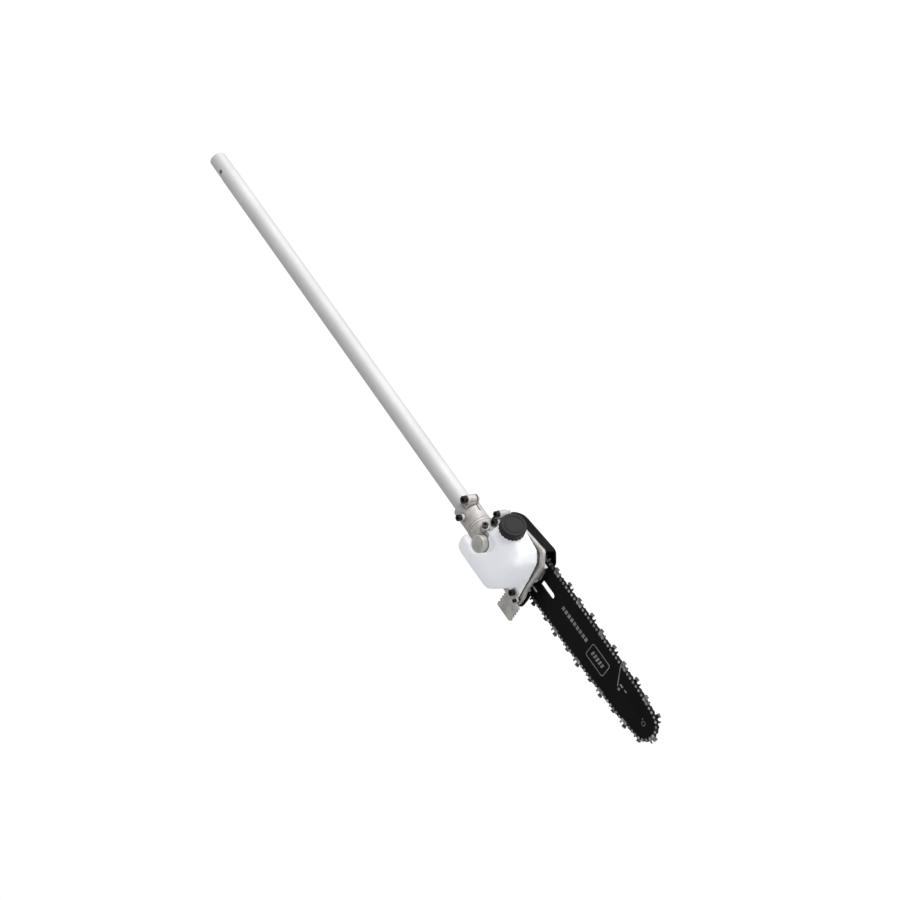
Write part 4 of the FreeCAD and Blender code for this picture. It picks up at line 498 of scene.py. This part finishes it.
def away_from(points, line, room):
    """0 near a line, rising to 1 away from it over that range of millimetres."""
    start, along = line
    along = np.array(along) / np.linalg.norm(along)
    offset = points - np.array(start) * MM
    gap = np.linalg.norm(offset - np.outer(offset @ along, along), axis=1)
    return smooth_step(gap, room[0] * MM, room[1] * MM)


def tank_freedom(points):
    """The tank rounds off freely, but keeps its flange, its neck and the hollow before the rear boss."""
    neck = away_from(points, NECK_LINE, NECK_ROOM)
    scoop = away_from(points, SCOOP_LINE, SCOOP_ROOM)
    flange = 1.0 - smooth_step(points[:, 1], FLANGE_ROOM[0] * MM, FLANGE_ROOM[1] * MM)
    return np.maximum(neck * flange * (LEAST_FREE + (1.0 - LEAST_FREE) * scoop), LEAST_FREE)


def make_tank():
    """Blow-moulded tank with broad, soft shoulders."""
    soft_form("oil_tank", "tank_shell", voxel=1.0, passes=130, slot="tank_plastic",
              freedom=tank_freedom)


def make_castings():
    """The castings in view, with softly broken edges."""
    soft_form("gearcase", "gearcase_casting", voxel=0.6, passes=6)
    soft_form("drive_housing", "housing_casting", voxel=0.6, passes=3)
    soft_form("bumper", "bumper_casting", voxel=0.42, passes=2)


# ---------------------------------------------------------------------------
# Print on the bar; outlines are (x, z) points, x along the bar and z across it
# ---------------------------------------------------------------------------
PRINT_BACK = 35.79       # 0.01 clear of the bar's face on the tank side
PRINT_THICK = 0.03
NOSE_X = 1049.1          # axis of the nose sprocket
CORNER_STEPS = 6         # straight pieces in a quarter turn


def outline_ring(outline, width):
    """A closed line that wide, as quads between the outline and its inset copy."""
    middle = sum((Vector(corner) for corner in outline), Vector((0, 0))) / len(outline)
    inner = []
    for i, point in enumerate(outline):
        before = Vector(outline[i - 1])
        after = Vector(outline[(i + 1) % len(outline)])
        along = (after - before).normalized()
        inward = Vector((-along.y, along.x))
        if inward.dot(middle - Vector(point)) < 0:
            inward = -inward
        inner.append(tuple(Vector(point) + inward * width))
    return [(outline[i - 1], outline[i], inner[i], inner[i - 1]) for i in range(len(outline))]


def rounded_rectangle(x, z, wide, high, radius):
    """Outline about the centre (x, z), counterclockwise from the upper end of its right side."""
    points = []
    for quarter, (side, level) in enumerate(((1, 1), (-1, 1), (-1, -1), (1, -1))):
        for step in range(CORNER_STEPS + 1):
            turn = math.pi / 2 * (quarter + step / CORNER_STEPS)
            points.append((x + side * (wide / 2 - radius) + radius * math.cos(turn),
                           z + level * (high / 2 - radius) + radius * math.sin(turn)))
    return points


def slanted_block(x, z, wide, high, slant=0.0):
    """Four corners from the lower left one; the upper side is shifted by the slant."""
    return ((x, z), (x + wide, z), (x + wide + slant, z + high), (x + slant, z + high))


def block_row(count, pitch, x, z, wide, high, slant=0.0):
    """Equal blocks side by side, from x on."""
    return [slanted_block(x + pitch * i, z, wide, high, slant) for i in range(count)]


def print_outlines():
    """A row of blocks, a frame round five slanted bars, and small marks towards the nose."""
    row = block_row(count=9, pitch=6.45, x=864.5, z=1.2, wide=4.5, high=5.2)
    border = rounded_rectangle(x=948.2, z=0.0, wide=38.4, high=20.8, radius=3.6)
    bars = block_row(count=5, pitch=5.2, x=935.0, z=-3.2, wide=3.1, high=6.4, slant=1.4)
    circle = rounded_rectangle(x=NOSE_X, z=0.0, wide=6.4, high=6.4, radius=3.2)
    dot = slanted_block(x=1043.6, z=2.6, wide=1.5, high=1.5)
    line = slanted_block(x=990.1, z=1.7, wide=1.5, high=22.9, slant=-13.7)
    dashes = [
        slanted_block(x=993.2, z=-1.4, wide=3.4, high=3.4),
        slanted_block(x=991.8, z=5.2, wide=5.6, high=2.6, slant=1.2),
        slanted_block(x=1001.8, z=5.6, wide=4.2, high=2.0),
    ]
    rings = outline_ring(border, width=1.1) + outline_ring(circle, width=1.2)
    return row + bars + rings + [dot, line] + dashes


def make_bar_print():
    """Plain printed marks on the tank side of the bar, as thin raised blocks."""
    form = bmesh.new()
    for shape in print_outlines():
        corners = [form.verts.new((x * MM, PRINT_BACK * MM, z * MM)) for x, z in shape]
        form.faces.new(corners)
    thick = bmesh.ops.extrude_face_region(form, geom=list(form.faces))
    raised = [part for part in thick["geom"] if isinstance(part, bmesh.types.BMVert)]
    bmesh.ops.translate(form, verts=raised, vec=(0, -PRINT_THICK * MM, 0))
    bmesh.ops.recalc_face_normals(form, faces=form.faces)
    mesh = bpy.data.meshes.new("bar_print")
    form.to_mesh(mesh)
    form.free()
    new_piece("bar_print", mesh, "bar", PRINT_PAINT)


make_camera()
make_floor()
make_lights()
paint_nodes()
make_tank()
make_castings()
make_bar_print()
